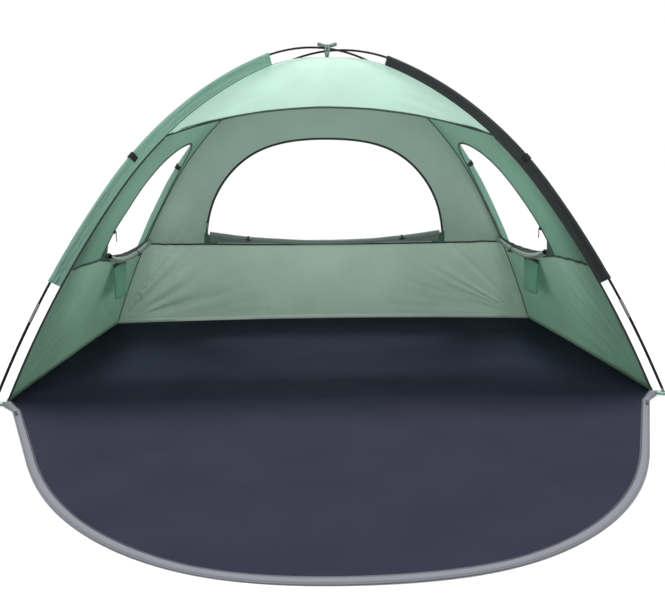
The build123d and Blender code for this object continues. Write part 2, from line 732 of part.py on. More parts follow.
def porch_slider_plane(sign):
    """Base plane of a porch slider, on the zip tape near the hinge, its pull lying forwards."""
    along = Vector(sign * (PORCH_TURN[0] - PORCH_HALF_WIDTH), PORCH_TURN[1] - PORCH_START, 0).normalized()
    hinge_corner = Vector(sign * PORCH_HALF_WIDTH, PORCH_START, 0)
    inwards = Vector(-sign, 0, 0)
    origin = hinge_corner + along * PORCH_SLIDER_PLACE + inwards * 9 + Vector(0, 0, SHEET + CLEAR / 3)
    return Plane(origin=origin, x_dir=along, z_dir=(0, 0, 1))


def window_slider_plane(side):
    """Base plane of a window slider, on the inside of the zip tape, x down the slope."""
    along, height = {"rear": (-583.0, 540.0), "left": (-203.0, 540.0), "right": (203.0, 540.0)}[side]
    wall = wall_plane(side, along, height, SEAM_INSET + SKIN + BINDING_PROUD, SLIDER_LENGTH).offset(0.5)
    return Plane(origin=wall.origin, x_dir=wall.y_dir * -1, z_dir=wall.z_dir)


def hanging_pull_plane(side):
    """Base plane of a window's pull, which hangs plumb from the slider's pin."""
    slider = window_slider_plane(side)
    inwards = OUTWARD[side] * -1
    pin = slider.origin + slider.z_dir * PULL_AXIS
    return Plane(origin=pin - inwards * PULL_AXIS, x_dir=(0, 0, -1), z_dir=inwards)


with BuildPart() as porch_sliders:
    for sign in (-1, 1):
        add(add_slider(porch_slider_plane(sign)).part)
save(porch_sliders, "porch_zip_sliders")
with BuildPart() as window_sliders:
    for side in ROLLS:
        add(add_slider(window_slider_plane(side)).part)
save(window_sliders, "window_zip_sliders")
for hand, sign in (("left", -1), ("right", 1)):
    save(add_pull(porch_slider_plane(sign)), f"porch_zip_pull_{hand}")
for side in ROLLS:
    save(add_pull(hanging_pull_plane(side)), f"window_zip_pull_{side}")
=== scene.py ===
"""Looks of the half-dome beach shelter: fabric sheets, sleeves, tapes, rolled covers and finishes.

Everything is in metres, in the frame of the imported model: +X right, +Y to the back, +Z up.
"""
from math import atan2, ceil, cos, hypot, pi, radians, sin, sqrt

import bpy
import numpy as np
from mathutils import Matrix, Vector, noise
from mathutils.geometry import delaunay_2d_cdt


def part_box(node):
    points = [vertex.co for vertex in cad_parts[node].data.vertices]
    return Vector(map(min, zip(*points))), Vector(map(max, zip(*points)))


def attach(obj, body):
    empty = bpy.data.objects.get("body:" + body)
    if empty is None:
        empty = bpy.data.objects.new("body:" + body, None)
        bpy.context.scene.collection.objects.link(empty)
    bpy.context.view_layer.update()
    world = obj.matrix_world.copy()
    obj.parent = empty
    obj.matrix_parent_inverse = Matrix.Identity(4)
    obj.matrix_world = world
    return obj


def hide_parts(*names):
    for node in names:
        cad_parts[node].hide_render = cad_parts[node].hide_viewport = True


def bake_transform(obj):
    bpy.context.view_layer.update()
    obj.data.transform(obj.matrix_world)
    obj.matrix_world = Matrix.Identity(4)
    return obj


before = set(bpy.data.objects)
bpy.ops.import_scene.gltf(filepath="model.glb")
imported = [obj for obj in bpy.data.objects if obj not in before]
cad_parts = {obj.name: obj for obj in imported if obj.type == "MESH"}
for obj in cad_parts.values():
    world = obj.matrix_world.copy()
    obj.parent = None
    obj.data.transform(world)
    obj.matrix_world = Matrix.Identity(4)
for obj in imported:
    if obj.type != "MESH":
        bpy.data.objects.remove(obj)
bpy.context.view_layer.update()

# Sizes that the design also holds -----------------------------------------------------------------
POLE_ARCS = [(0.730, radians(24.7)), (1.565, radians(28.0)), (3.500, radians(12.0))]
LEG_STRAIGHT = 0.100
SEAM_INSET = 0.0325
SEAM_HEIGHT = 0.432
POLE_STACK = 0.005
HEM_MIDDLE, HEM_END, HEM_END_X = 0.998, 0.886, 0.605
SLEEVE_TOP = 0.274
SLEEVE_BOTTOM = 0.442
GUY_LOOP_PLACE = 0.954
SILL_RISE = 0.016
PORCH_TURN = (0.830, -1.155)
PORCH_TAPE = 0.024
ROLL_SAG = 0.050
TAB_WIDTH = 0.030

# Thickness of each cloth, and the spacing of a sheet's mesh
CLOTH = 0.0008
GROUND_CLOTH = 0.0010
SLEEVE_CLOTH = 0.0007
ROLLED_CLOTH = 0.00032
TAB_THICK = 0.0015
TIE_TAPE_THICK = 0.0013
GRID = 0.011

# Stitches and zip teeth: length, width, height and spacing
STITCH = (0.0034, 0.0009, 0.0008)
STITCH_PITCH = 0.0058
COIL_TOOTH = (0.0042, 0.0015, 0.0018)
COIL_PITCH = 0.0026

# Tapes and turned edges: width, thickness
HEM_BINDING = (0.0075, 0.0028)
SEAM_BINDING = (0.0085, 0.0028)
FRONT_CORNER_BINDING = (0.0050, 0.0026)
REAR_CORNER_BINDING = (0.0095, 0.0026)
WINDOW_TAPE = (0.0110, 0.0026)
DOORWAY_TAPE = (0.0060, 0.0016)
FRONT_TURNING = (0.0220, 0.0022)
FOOT_TURNING = (0.0200, 0.0028)
POCKET_BINDING = (0.0090, 0.0022)
ROLL_TIE = (0.0100, 0.0011)
INSIDE_TAPE = 0.0034  # how far inside the cloth a flap lies that covers a window tape
EYELET_HOLE = 0.0056

floor_low, floor_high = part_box("floor_panel")
porch_low, porch_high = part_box("porch_zip_tape")
FLOOR_WIDTH = floor_high.x - floor_low.x
FLOOR_DEPTH = floor_high.y - floor_low.y
DIAGONAL = atan2(FLOOR_DEPTH, FLOOR_WIDTH)
CORNER_REACH = hypot(FLOOR_WIDTH, FLOOR_DEPTH) / 2
HALF_POLE = sum(radius * turn for radius, turn in POLE_ARCS) + LEG_STRAIGHT
CORNERS = {
    "front_left": pi + DIAGONAL,
    "front_right": -DIAGONAL,
    "rear_left": pi - DIAGONAL,
    "rear_right": DIAGONAL,
}


# Shape of the dome --------------------------------------------------------------------------------
def arch(distance):
    """Reach, drop below the crown and slope of the pole line at a distance from the crown."""
    reach, drop, slope, left = 0.0, 0.0, 0.0, distance
    for radius, turn in POLE_ARCS:
        step = min(left, radius * turn)
        bend = slope + step / radius
        reach += radius * (sin(bend) - sin(slope))
        drop += radius * (cos(slope) - cos(bend))
        slope = bend
        left -= step
    return reach + left * cos(slope), drop + left * sin(slope), slope


CROWN = arch(HALF_POLE)[1]
stations = np.linspace(0.0, HALF_POLE + 0.04, 1200)
pole_reach, pole_drop, pole_slope = np.array([arch(station) for station in stations]).T
seam_reach = pole_reach - SEAM_INSET * np.sin(pole_slope)
seam_height = CROWN - pole_drop - SEAM_INSET * np.cos(pole_slope)


def smooth(value):
    value = np.clip(value, 0.0, 1.0)
    return value * value * (3 - 2 * value)


def wobble(points, scale, seed):
    """Smooth noise from -1 to 1 at each row of an array of 2-D points."""
    return np.array([noise.noise(Vector((a * scale[0], b * scale[1], seed))) for a, b in points])


def corner_axes(corner):
    """Directions outwards along a corner's diagonal, and across it."""
    azimuth = CORNERS[corner]
    return np.array((cos(azimuth), sin(azimuth), 0.0)), np.array((-sin(azimuth), cos(azimuth), 0.0))


class Side:
    """One side of the dome. A place on it is (level, down): metres along a level line from the
    middle, and metres down the sheet from the crown, as the flat cloth would be marked out."""

    sag = 0.004

    def __init__(self, outward, seed):
        self.outward = np.array(outward, float)
        self.along = np.array((1.0, 0.0, 0.0) if outward[1] else (0.0, 1.0, 0.0))
        share, self.spread = sin(DIAGONAL), cos(DIAGONAL)
        if not outward[1]:
            share, self.spread = self.spread, share
        self.out = share * seam_reach
        steps = np.hypot(np.diff(self.out), np.diff(seam_height))
        self.down = np.concatenate(([0.0], np.cumsum(steps)))
        self.normal_out = -np.gradient(seam_height, self.down)
        self.normal_up = np.gradient(self.out, self.down)
        self.seed = seed
        self.folds = []
        self.calm = None

    def half(self, down):
        """Half the length of the level line at a place down the sheet."""
        return self.spread * np.interp(down, self.down, seam_reach)

    def down_at(self, height):
        return np.interp(-np.asarray(height, float), -seam_height, self.down)

    def height_at(self, down):
        return np.interp(down, self.down, seam_height)

    def relief(self, flat):
        """How far the cloth stands out from its taut line: sag, folds from the corners, creases."""
        level, down = flat[:, 0], flat[:, 1]
        half = self.half(down)
        height = self.height_at(down)
        lift = -self.sag * (1 - np.clip(level / np.maximum(half, 0.01), -1, 1) ** 2)
        lift = lift * np.sin(pi * np.clip(height / 1.2, 0, 1)) ** 0.6
        lift += 0.0034 * wobble(flat, (2.6, 3.1), self.seed) + 0.0010 * wobble(flat, (11, 9), self.seed + 5)
        for corner_level, corner_down, reach, count, depth in self.folds:
            away = np.hypot(level - corner_level, down - corner_down)
            turn = np.arctan2(down - corner_down, level - corner_level)
            near = away < 4 * reach
            ridge = np.zeros(len(flat))
            polar = np.column_stack((turn, away))[near]
            ridge[near] = 1 - 2.2 * np.abs(wobble(polar, (count, 1.3), self.seed + corner_level)) ** 0.8
            lift += depth * ridge * (away / reach) * np.exp(1 - away / reach)
        seam_gap = np.abs(height - SEAM_HEIGHT)
        puckers = 0.0007 * wobble(flat, (55, 20), self.seed + 9)
        lift += puckers * np.exp(-(seam_gap / 0.03) ** 2)
        edge_gap = half - np.abs(level)
        lift += 0.0009 * wobble(flat, (16, 48), self.seed + 3) * np.exp(-(edge_gap / 0.04) ** 2)
        if self.calm is not None:
            away = np.hypot(level - self.calm[0], down - self.calm[1])
            lift *= smooth((away - 0.01) / 0.12)
        return lift * smooth(edge_gap / 0.05) * smooth((height - 0.02) / 0.07)

    def place(self, flat, lift=0.0, eased=True):
        """Points in space for rows of (level, down), raised outwards by lift."""
        flat = np.atleast_2d(np.asarray(flat, float))
        level, down = flat[:, 0], flat[:, 1]
        lift = lift + (self.relief(flat) if eased else 0.0)
        out = np.interp(down, self.down, self.out) + lift * np.interp(down, self.down, self.normal_out)
        up = self.height_at(down) + lift * np.interp(down, self.down, self.normal_up)
        return np.outer(level, self.along) + np.outer(out, self.outward) + np.outer(up, (0, 0, 1))


SIDES = {
    "rear": Side((0, 1, 0), 1.0),
    "front": Side((0, -1, 0), 2.0),
    "left": Side((-1, 0, 0), 3.0),
    "right": Side((1, 0, 0), 4.0),
}
WALLS = ("rear", "left", "right")

front = SIDES["front"]


def place_folds():
    """Fans of folds: each is the level and down of its middle, its reach, count and depth."""
    for side_name in WALLS:
        side = SIDES[side_name]
        foot_down = float(side.down_at(0.0))
        foot_half = float(side.half(foot_down))
        depth = 0.0120 if side_name == "rear" else 0.0060
        for sign in (-1, 1):
            side.folds.append((sign * foot_half, foot_down, 0.20, 10.0, depth))
            seam_down = float(side.down_at(SEAM_HEIGHT))
            side.folds.append((sign * 0.93 * foot_half, seam_down, 0.12, 4.5, 0.0015))
    hem_corner_down = float(front.down_at(HEM_END))
    for sign in (-1, 1):
        front.folds.append((sign * HEM_END_X, hem_corner_down, 0.10, 10.0, 0.0060))
    front.folds.append((0.0, 0.02, 0.16, 3.0, 0.0012))


def calm_cloth_at_pulls():
    """Behind each window's zip pull the cloth lies flat, so that the pull hangs clear of it."""
    for side_name in WALLS:
        low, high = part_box(f"window_zip_pull_{side_name}")
        level = (low.x + high.x) / 2 if side_name == "rear" else (low.y + high.y) / 2
        SIDES[side_name].calm = (level, float(SIDES[side_name].down_at(high.z)))


place_folds()
calm_cloth_at_pulls()


# Materials ----------------------------------------------------------------------------------------
def linear(*colour):
    """Linear colour from 8-bit sRGB values."""
    shares = [value / 255 for value in colour]
    return [s / 12.92 if s <= 0.04045 else ((s + 0.055) / 1.055) ** 2.4 for s in shares]


RANGE_INPUTS = ("From Min", "From Max", "To Min", "To Max")


class Finish:
    """A procedural material in the making: a Principled shader and the nodes that feed it."""

    def __init__(self, name, colour, roughness, coords="flat"):
        self.material = bpy.data.materials.new(name)
        self.material.use_nodes = True
        self.tree = self.material.node_tree
        self.shader = self.tree.nodes["Principled BSDF"]
        self.output = self.tree.nodes["Material Output"]
        if coords == "flat":
            self.coords = self.node("ShaderNodeAttribute", attribute_name="flat").outputs["Vector"]
        else:
            self.coords = self.node("ShaderNodeTexCoord").outputs["Object"]
        self.colour = colour
        self.roughness = roughness
        self.bump_in = None

    def node(self, kind, **settings):
        made = self.tree.nodes.new(kind)
        for key, value in settings.items():
            setattr(made, key, value)
        return made

    def link(self, start, end):
        self.tree.links.new(start, end)

    def noise(self, scale, detail=3.0, stretch=(1, 1, 1)):
        mapping = self.node("ShaderNodeMapping")
        mapping.inputs["Scale"].default_value = stretch
        self.link(self.coords, mapping.inputs["Vector"])
        texture = self.node("ShaderNodeTexNoise")
        texture.inputs["Scale"].default_value = scale
        texture.inputs["Detail"].default_value = detail
        self.link(mapping.outputs["Vector"], texture.inputs["Vector"])
        return texture.outputs["Fac"]

    def threads(self, direction, pitch):
        """Bands across one direction, one for each thread."""
        texture = self.node("ShaderNodeTexWave", bands_direction=direction)
        texture.inputs["Scale"].default_value = 0.31416 / pitch
        texture.inputs["Distortion"].default_value = 0.3
        texture.inputs["Detail"].default_value = 1.0
        self.link(self.coords, texture.inputs["Vector"])
        return texture.outputs["Fac"]

    def maths(self, operation, a, b):
        made = self.node("ShaderNodeMath", operation=operation)
        for socket, value in zip(made.inputs, (a, b)):
            if isinstance(value, (int, float)):
                socket.default_value = value
            else:
                self.link(value, socket)
        return made.outputs[0]

    def mixed(self, first, second, share):
        """Two patterns added, the first with its share."""
        return self.maths("ADD", self.maths("MULTIPLY", first, share),
                          self.maths("MULTIPLY", second, 1 - share))

    def spread(self, source, low, high, start=0.3, stop=0.7):
        made = self.node("ShaderNodeMapRange")
        for name, value in zip(RANGE_INPUTS, (start, stop, low, high)):
            made.inputs[name].default_value = value
        self.link(source, made.inputs["Value"])
        return made.outputs["Result"]

    def mottle(self, source, other, strength=1.0):
        """The colour, drifting towards another where source is high."""
        ramp = self.node("ShaderNodeMix", data_type="RGBA")
        ramp.inputs["A"].default_value = (*self.colour, 1)
        ramp.inputs["B"].default_value = (*other, 1)
        self.link(self.spread(source, 0.0, strength), ramp.inputs["Factor"])
        self.link(ramp.outputs["Result"], self.shader.inputs["Base Color"])
        return ramp.outputs["Result"]

    def rough(self, source, drift):
        self.link(self.spread(source, self.roughness - drift, self.roughness + drift),
                  self.shader.inputs["Roughness"])

    def bump(self, source, height, strength=0.5):
        made = self.node("ShaderNodeBump")
        made.inputs["Distance"].default_value = height
        made.inputs["Strength"].default_value = strength
        self.link(source, made.inputs["Height"])
        if self.bump_in is not None:
            self.link(self.bump_in, made.inputs["Normal"])
        self.bump_in = made.outputs["Normal"]
        self.link(self.bump_in, self.shader.inputs["Normal"])


def shade(colour, factor):
    return [min(1.0, channel * factor) for channel in colour]


def cloth_finish(name, colour, roughness=0.62, pitch=0.0011, sheen=0.2, see_through=0.0, relief=0.00012,
                 gloss=0.3, painted_shadow=None):
    """Woven cloth: two sets of threads, slubs, faint mottling, sheen, and light through it. A painted shadow
    is a darker colour and the stretch down the sheet over which the cloth turns to it: shade painted into
    the cloth."""
    made = Finish(name, colour, roughness)
    made.shader.inputs["Sheen Weight"].default_value = sheen
    made.shader.inputs["Sheen Roughness"].default_value = 0.4
    made.shader.inputs["Specular IOR Level"].default_value = gloss
    weave = made.maths("MULTIPLY", made.threads("X", pitch), made.threads("Y", pitch))
    slubs = made.noise(420.0, 2.0, (1.0, 0.12, 1.0))
    cloud = made.noise(5.0, 4.0)
    tint = made.mottle(made.mixed(cloud, slubs, 0.8), shade(colour, 0.86), 0.8)
    # Painted shadow: the cloth's colour darkens towards another colour over a stretch down the sheet, shade
    # painted in.
    if painted_shadow:
        other, start, stop = painted_shadow
        split = made.node("ShaderNodeSeparateXYZ")
        made.link(made.coords, split.inputs[0])
        shadow_mix = made.node("ShaderNodeMix", data_type="RGBA")
        shadow_mix.inputs["B"].default_value = (*other, 1)
        made.link(made.spread(split.outputs["Y"], 0.0, 1.0, start, stop), shadow_mix.inputs["Factor"])
        made.link(tint, shadow_mix.inputs["A"])
        made.link(shadow_mix.outputs["Result"], made.shader.inputs["Base Color"])
    made.rough(cloud, 0.06)
    made.bump(weave, relief, 0.45)
    made.bump(slubs, relief, 0.25)
    if see_through:
        through = made.node("ShaderNodeBsdfTranslucent")
        made.link(tint, through.inputs["Color"])
        mix = made.node("ShaderNodeMixShader")
        mix.inputs["Fac"].default_value = see_through
        made.link(made.shader.outputs["BSDF"], mix.inputs[1])
        made.link(through.outputs["BSDF"], mix.inputs[2])
        made.link(mix.outputs["Shader"], made.output.inputs["Surface"])
    return made.material


def tape_finish(name, colour, pitch=0.0016):
    """Close ribbed webbing or zip tape."""
    made = Finish(name, colour, 0.8)
    made.shader.inputs["Sheen Weight"].default_value = 0.15
    ribs = made.threads("DIAGONAL", pitch)
    fuzz = made.noise(900.0, 3.0)
    made.mottle(made.mixed(ribs, fuzz, 0.55), shade(colour, 0.68), 0.9)
    made.rough(fuzz, 0.08)
    made.bump(ribs, 0.0003, 0.6)
    made.bump(fuzz, 0.0001, 0.4)
    return made.material


def plastic_finish(name, colour, roughness, coat=0.0):
    """Moulded or pulled plastic: fine grain and scuffed roughness."""
    made = Finish(name, colour, roughness, "object")
    made.shader.inputs["Coat Weight"].default_value = coat
    made.shader.inputs["Specular IOR Level"].default_value = 0.25
    scuffs = made.noise(38.0, 5.0)
    made.mottle(scuffs, shade(colour, 1.7), 0.5)
    made.rough(scuffs, 0.1)
    made.bump(made.noise(260.0, 3.0), 0.00008, 0.4)
    return made.material


def metal_finish(name, colour, roughness, brushed=(1, 1, 1), wear=None):
    """Metal with fine lines, stretched where it is brushed, and stains or wear."""
    made = Finish(name, colour, roughness, "object")
    made.shader.inputs["Metallic"].default_value = 1.0
    lines = made.noise(600.0, 3.0, brushed)
    stains = made.noise(30.0, 4.0)
    made.mottle(stains, wear or shade(colour, 0.7), 0.7)
    made.rough(lines, 0.12)
    made.bump(lines, 0.00005, 0.35)
    return made.material


# The lower panels are given a lighter colour than the upper ones. This is partly painted light, which
# brightens the lower walls where little light reaches them.
WALL_UPPER = cloth_finish("wall_cloth_upper", linear(170, 194, 181), see_through=0.30)
WALL_LOWER = cloth_finish("wall_cloth_lower", linear(202, 223, 209), see_through=0.30)
SIDE_UPPER = cloth_finish("side_cloth_upper", linear(150, 199, 176), see_through=0.28)
SIDE_LOWER = cloth_finish("side_cloth_lower", linear(186, 219, 201), see_through=0.42)
SIDE_HEM = cloth_finish("side_hem_cloth", linear(158, 205, 182), see_through=0.20)
WALL_HEM = cloth_finish("wall_hem_cloth", linear(205, 226, 213))
AWNING = cloth_finish("awning_cloth", linear(192, 228, 212), roughness=0.55, see_through=0.22)
SLEEVE_GREEN = cloth_finish("sleeve_cloth_green", linear(128, 170, 153), roughness=0.7, pitch=0.0014)
SLEEVE_GREY = cloth_finish("sleeve_cloth_grey", linear(46, 52, 52), roughness=0.7, pitch=0.0014)
# The groundsheet is darker than the porch, though both are one navy cloth: painted shade for the dim inside
# of the shelter.
FLOOR = cloth_finish("groundsheet_cloth", linear(30, 36, 49), roughness=0.85, pitch=0.0022, sheen=0.0,
                     relief=0.0002, gloss=0.08)
# The porch darkens to the floor's colour near the hinge line: a painted shadow of the awning, not a change
# of cloth.
PORCH = cloth_finish("porch_cloth", linear(48, 48, 64), roughness=0.85, pitch=0.0022, sheen=0.0,
                     relief=0.0002, gloss=0.08, painted_shadow=(linear(33, 38, 51), -0.90, -0.68))
COVER = cloth_finish("cover_cloth", linear(104, 122, 114), roughness=0.5, sheen=0.3)
GARAGE = cloth_finish("zip_garage_cloth", linear(62, 98, 82))
POCKET = cloth_finish("pocket_cloth", linear(108, 168, 140), pitch=0.0018, see_through=0.15)
TRIM_TAPE = tape_finish("porch_tape_grey", linear(130, 133, 142))
BLACK_TAPE = tape_finish("tape_black", linear(20, 25, 25))
SEAM_TAPE = tape_finish("seam_tape_dark_green", linear(34, 60, 50))
WEBBING = tape_finish("webbing_black", linear(18, 18, 20), 0.0024)
MINT_WEBBING = tape_finish("webbing_mint", linear(186, 224, 205), 0.0030)
TIE_TAPE = tape_finish("tie_tape_grey_green", linear(118, 144, 134), 0.0020)
THREAD = tape_finish("thread_light", linear(196, 214, 205), 0.0008)
DARK_THREAD = tape_finish("thread_dark", linear(52, 62, 60), 0.0008)
COIL = plastic_finish("zip_coil", linear(96, 99, 106), 0.45)
FIBREGLASS = plastic_finish("fibreglass_black", linear(18, 18, 20), 0.35, coat=0.1)
BLACK_PLASTIC = plastic_finish("toggle_black", linear(16, 16, 18), 0.5)
STEEL = metal_finish("ferrule_steel", linear(190, 192, 196), 0.3, (1, 1, 0.05))
TIP_METAL = metal_finish("tip_metal", linear(160, 162, 166), 0.4)
RING_METAL = metal_finish("ring_metal", linear(60, 60, 64), 0.4, wear=linear(110, 110, 112))
EYELET_METAL = metal_finish("eyelet_metal", linear(178, 172, 150), 0.35)
ZIP_METAL = metal_finish("zip_metal", linear(70, 73, 78), 0.4, wear=linear(120, 122, 126))


# Mesh building ------------------------------------------------------------------------------------
def make_piece(name, points, faces, materials, flat=None, face_materials=None, sharp=50):
    mesh = bpy.data.meshes.new(name)
    mesh.from_pydata([tuple(p) for p in points], [], [tuple(int(i) for i in f) for f in faces])
    for material in materials:
        mesh.materials.append(material)
    if face_materials is not None:
        mesh.polygons.foreach_set("material_index", np.asarray(face_materials, np.int32))
    if flat is not None:
        attribute = mesh.attributes.new("flat", "FLOAT_VECTOR", "POINT")
        attribute.data.foreach_set("vector", np.asarray(flat, np.float32).ravel())
    mesh.polygons.foreach_set("use_smooth", np.ones(len(mesh.polygons), bool))
    mesh.set_sharp_from_angle(angle=radians(sharp))
    mesh.update()
    piece = bpy.data.objects.new(name, mesh)
    bpy.context.scene.collection.objects.link(piece)
    return piece


class Heap:
    """Collects parts of one piece: points, faces, a material number for each face, flat places."""

    def __init__(self):
        self.points, self.faces, self.numbers, self.flat = [], [], [], []
        self.count = 0

    def add(self, points, faces, number=0, flat=None):
        points = np.asarray(points, float)
        self.points.append(points)
        self.flat.append(points if flat is None else np.asarray(flat, float))
        self.faces.extend([[i + self.count for i in face] for face in faces])
        self.numbers.extend([number] * len(faces))
        self.count += len(points)

    def piece(self, name, materials, sharp=50):
        return make_piece(name, np.concatenate(self.points), self.faces, materials,
                          np.concatenate(self.flat), self.numbers, sharp)


def run_lengths(points):
    """How far along a line each of its points is."""
    return np.concatenate(([0.0], np.cumsum(np.linalg.norm(np.diff(points, axis=0), axis=1))))


def unit(rows):
    return rows / np.maximum(np.linalg.norm(rows, axis=-1, keepdims=True), 1e-9)


def headings(line, axis=0):
    """Directions along a line at its points."""
    return unit(np.gradient(line, axis=axis))


def circle(radius, count, tall=None):
    """A closed round section, or an oval one with its own radius across."""
    return [(radius * cos(t), (tall or radius) * sin(t)) for t in np.linspace(0, 2 * pi, count + 1)[:-1]]


def resample(loop, spacing, closed=True):
    """Even points along a polyline, keeping its corners."""
    loop = np.asarray(loop, float)
    ends = np.roll(loop, -1, axis=0) if closed else loop[1:]
    points = []
    for start, end in zip(loop, ends):
        steps = max(1, round(float(np.linalg.norm(end - start)) / spacing))
        points.extend(start + (end - start) * step / steps for step in range(steps))
    if not closed:
        points.append(loop[-1])
    return np.array(points)


def even(loop, spacing):
    """Points at equal distances along an open curve."""
    loop = np.asarray(loop, float)
    gaps = run_lengths(loop)
    places = np.linspace(0, gaps[-1], max(2, ceil(gaps[-1] / spacing)))
    return np.column_stack([np.interp(places, gaps, loop[:, axis]) for axis in range(loop.shape[1])])


def inside(points, loop, holes=()):
    """Which points lie inside a closed outline and in none of its holes."""
    x, y = points[:, 0], points[:, 1]
    found = np.zeros(len(points), bool)
    for (ax, ay), (bx, by) in zip(loop, np.roll(loop, -1, axis=0)):
        if ay != by:
            crosses = (ay > y) != (by > y)
            found ^= crosses & (x < (bx - ax) * (y - ay) / (by - ay) + ax)
    for hole in holes:
        found &= ~inside(points, hole)
    return found


def outline_area(loop):
    x, y = np.asarray(loop)[:, 0], np.asarray(loop)[:, 1]
    return abs(float(np.dot(x, np.roll(y, -1)) - np.dot(y, np.roll(x, -1)))) / 2


def cut_cloth(outline, holes=(), spacing=GRID):
    """Triangles that fill an outline marked on flat cloth, less its holes."""
    outline, *holes = [resample(loop, spacing) for loop in (outline, *holes)]
    low, high = outline.min(0), outline.max(0)
    rows = np.arange(low[1], high[1], spacing * 0.87)
    grid = np.array([(x + (spacing / 2 if number % 2 else 0), y) for number, y in enumerate(rows)
                     for x in np.arange(low[0], high[0], spacing)])
    grid = grid[inside(grid, outline, holes)]
    rim = np.concatenate((outline, *holes))
    clear = np.ones(len(grid), bool)
    for part in np.array_split(np.arange(len(rim)), max(1, len(rim) // 200)):
        gaps = np.abs(grid[:, None, :] - rim[None, part, :]).max(axis=2).min(axis=1)
        clear &= gaps > 0.55 * spacing
    edges, start = [], 0
    for loop in (outline, *holes):
        edges += [(start + i, start + (i + 1) % len(loop)) for i in range(len(loop))]
        start += len(loop)
    points = [Vector(p) for p in np.concatenate((rim, grid[clear]))]
    found = delaunay_2d_cdt(points, edges, [], 0, 1e-7)
    flat = np.array([tuple(p) for p in found[0]])
    triangles = np.array(found[2])
    return flat, triangles[inside(flat[triangles].mean(axis=1), outline, holes)]


def cloth(name, outline, place, material, holes=(), thickness=CLOTH, spacing=GRID):
    """A closed thin sheet cut to an outline and laid where place(flat, lift) says."""
    flat, triangles = cut_cloth(outline, holes, spacing)
    count = len(flat)
    edges = dict.fromkeys(edge for a, b, c in triangles for edge in ((a, b), (b, c), (c, a)))
    faces = [tuple(t) for t in triangles] + [(a + count, c + count, b + count) for a, b, c in triangles]
    faces += [(b, a, a + count, b + count) for a, b in edges if (b, a) not in edges]
    flat3 = np.column_stack((flat, np.zeros(count)))
    points = np.concatenate((place(flat, thickness / 2), place(flat, -thickness / 2)))
    piece = make_piece(name, points, faces, [material], np.concatenate((flat3, flat3)))
    piece["flat_area"] = outline_area(outline) - sum(outline_area(hole) for hole in holes)
    size = np.asarray(outline).max(0) - np.asarray(outline).min(0)
    piece["flat_size"] = [float(size[0]), float(size[1])]
    return piece


def ring_faces(rows, around, capped=True):
    """Faces of a tube of rows rings with around points each."""
    faces = []
    for start in range(0, (rows - 1) * around, around):
        for i in range(around):
            j = (i + 1) % around
            faces.append((start + i, start + j, start + around + j, start + around + i))
    if capped:
        faces.append(tuple(range(around - 1, -1, -1)))
        faces.append(tuple(range((rows - 1) * around, rows * around)))
    return faces


def add_sweep(heap, centres, across, up, sections):
    """Carries a section, rows of (across, up), along a line. One section, or one for each point.
    A direction may be one for the whole line."""
    centres = np.asarray(centres, float)
    across, up = (np.broadcast_to(v, centres.shape) for v in (across, up))
    sections = np.asarray(sections, float)
    if sections.ndim == 2:
        sections = np.repeat(sections[None], len(centres), axis=0)
    rings = centres[:, None] + sections[:, :, :1] * across[:, None] + sections[:, :, 1:] * up[:, None]
    flat = np.zeros(rings.shape)
    flat[:, :, 0] = run_lengths(centres)[:, None]
    flat[:, :, 1] = sections[:, :, 0]
    faces = ring_faces(len(centres), sections.shape[1])
    heap.add(rings.reshape(-1, 3), faces, flat=flat.reshape(-1, 3))


def flat_section(width, thickness):
    """Section of a soft-edged band."""
    w, t, r = width / 2, thickness / 2, thickness / 4
    half = [(-w, -t + r), (-w + r, -t), (w - r, -t), (w, -t + r)]
    return half + [(-x, -y) for x, y in half]


def add_bars(heap, centres, along, up, size, number):
    """Small bars, one at each centre, such as stitches or zip teeth, narrower at the top."""
    length, width, height = (side / 2 for side in size)
    corners = [(share * x, share * y, z) for z, share in ((-1, 1.0), (1, 0.6))
               for x, y in ((-1, -1), (1, -1), (1, 1), (-1, 1))]
    faces = [(3, 2, 1, 0), (4, 5, 6, 7), (0, 1, 5, 4), (1, 2, 6, 5), (2, 3, 7, 6), (3, 0, 4, 7)]
    for centre, a, b, c in zip(centres, along, np.cross(up, along), up):
        ring = [centre + a * (x * length) + b * (y * width) + c * (z * height) for x, y, z in corners]
        heap.add(ring, faces, number)


def add_stitches(heap, points, up, number=1, pitch=STITCH_PITCH):
    """A row of stitches along a line, lying on its surface. Thread is a piece's second material."""
    line = even(np.column_stack((points, up)), pitch)
    add_bars(heap, line[:, :3], headings(line[:, :3]), unit(line[:, 3:]), STITCH, number)


def add_coil(heap, points, up):
    """The teeth of a zip's coil, across the line. The coil is a piece's third material."""
    line = even(np.column_stack((points, up)), COIL_PITCH)
    across = unit(np.cross(line[:, 3:], headings(line[:, :3])))
    add_bars(heap, line[:, :3], across, unit(line[:, 3:]), COIL_TOOTH, 2)


def offset_path(path, amount, closed=False):
    """A flat path moved sideways, to the left of its direction."""
    path = np.asarray(path, float)
    if closed:
        step = unit(np.roll(path, -1, axis=0) - np.roll(path, 1, axis=0))
    else:
        step = headings(path)
    return path + amount * np.column_stack((-step[:, 1], step[:, 0]))


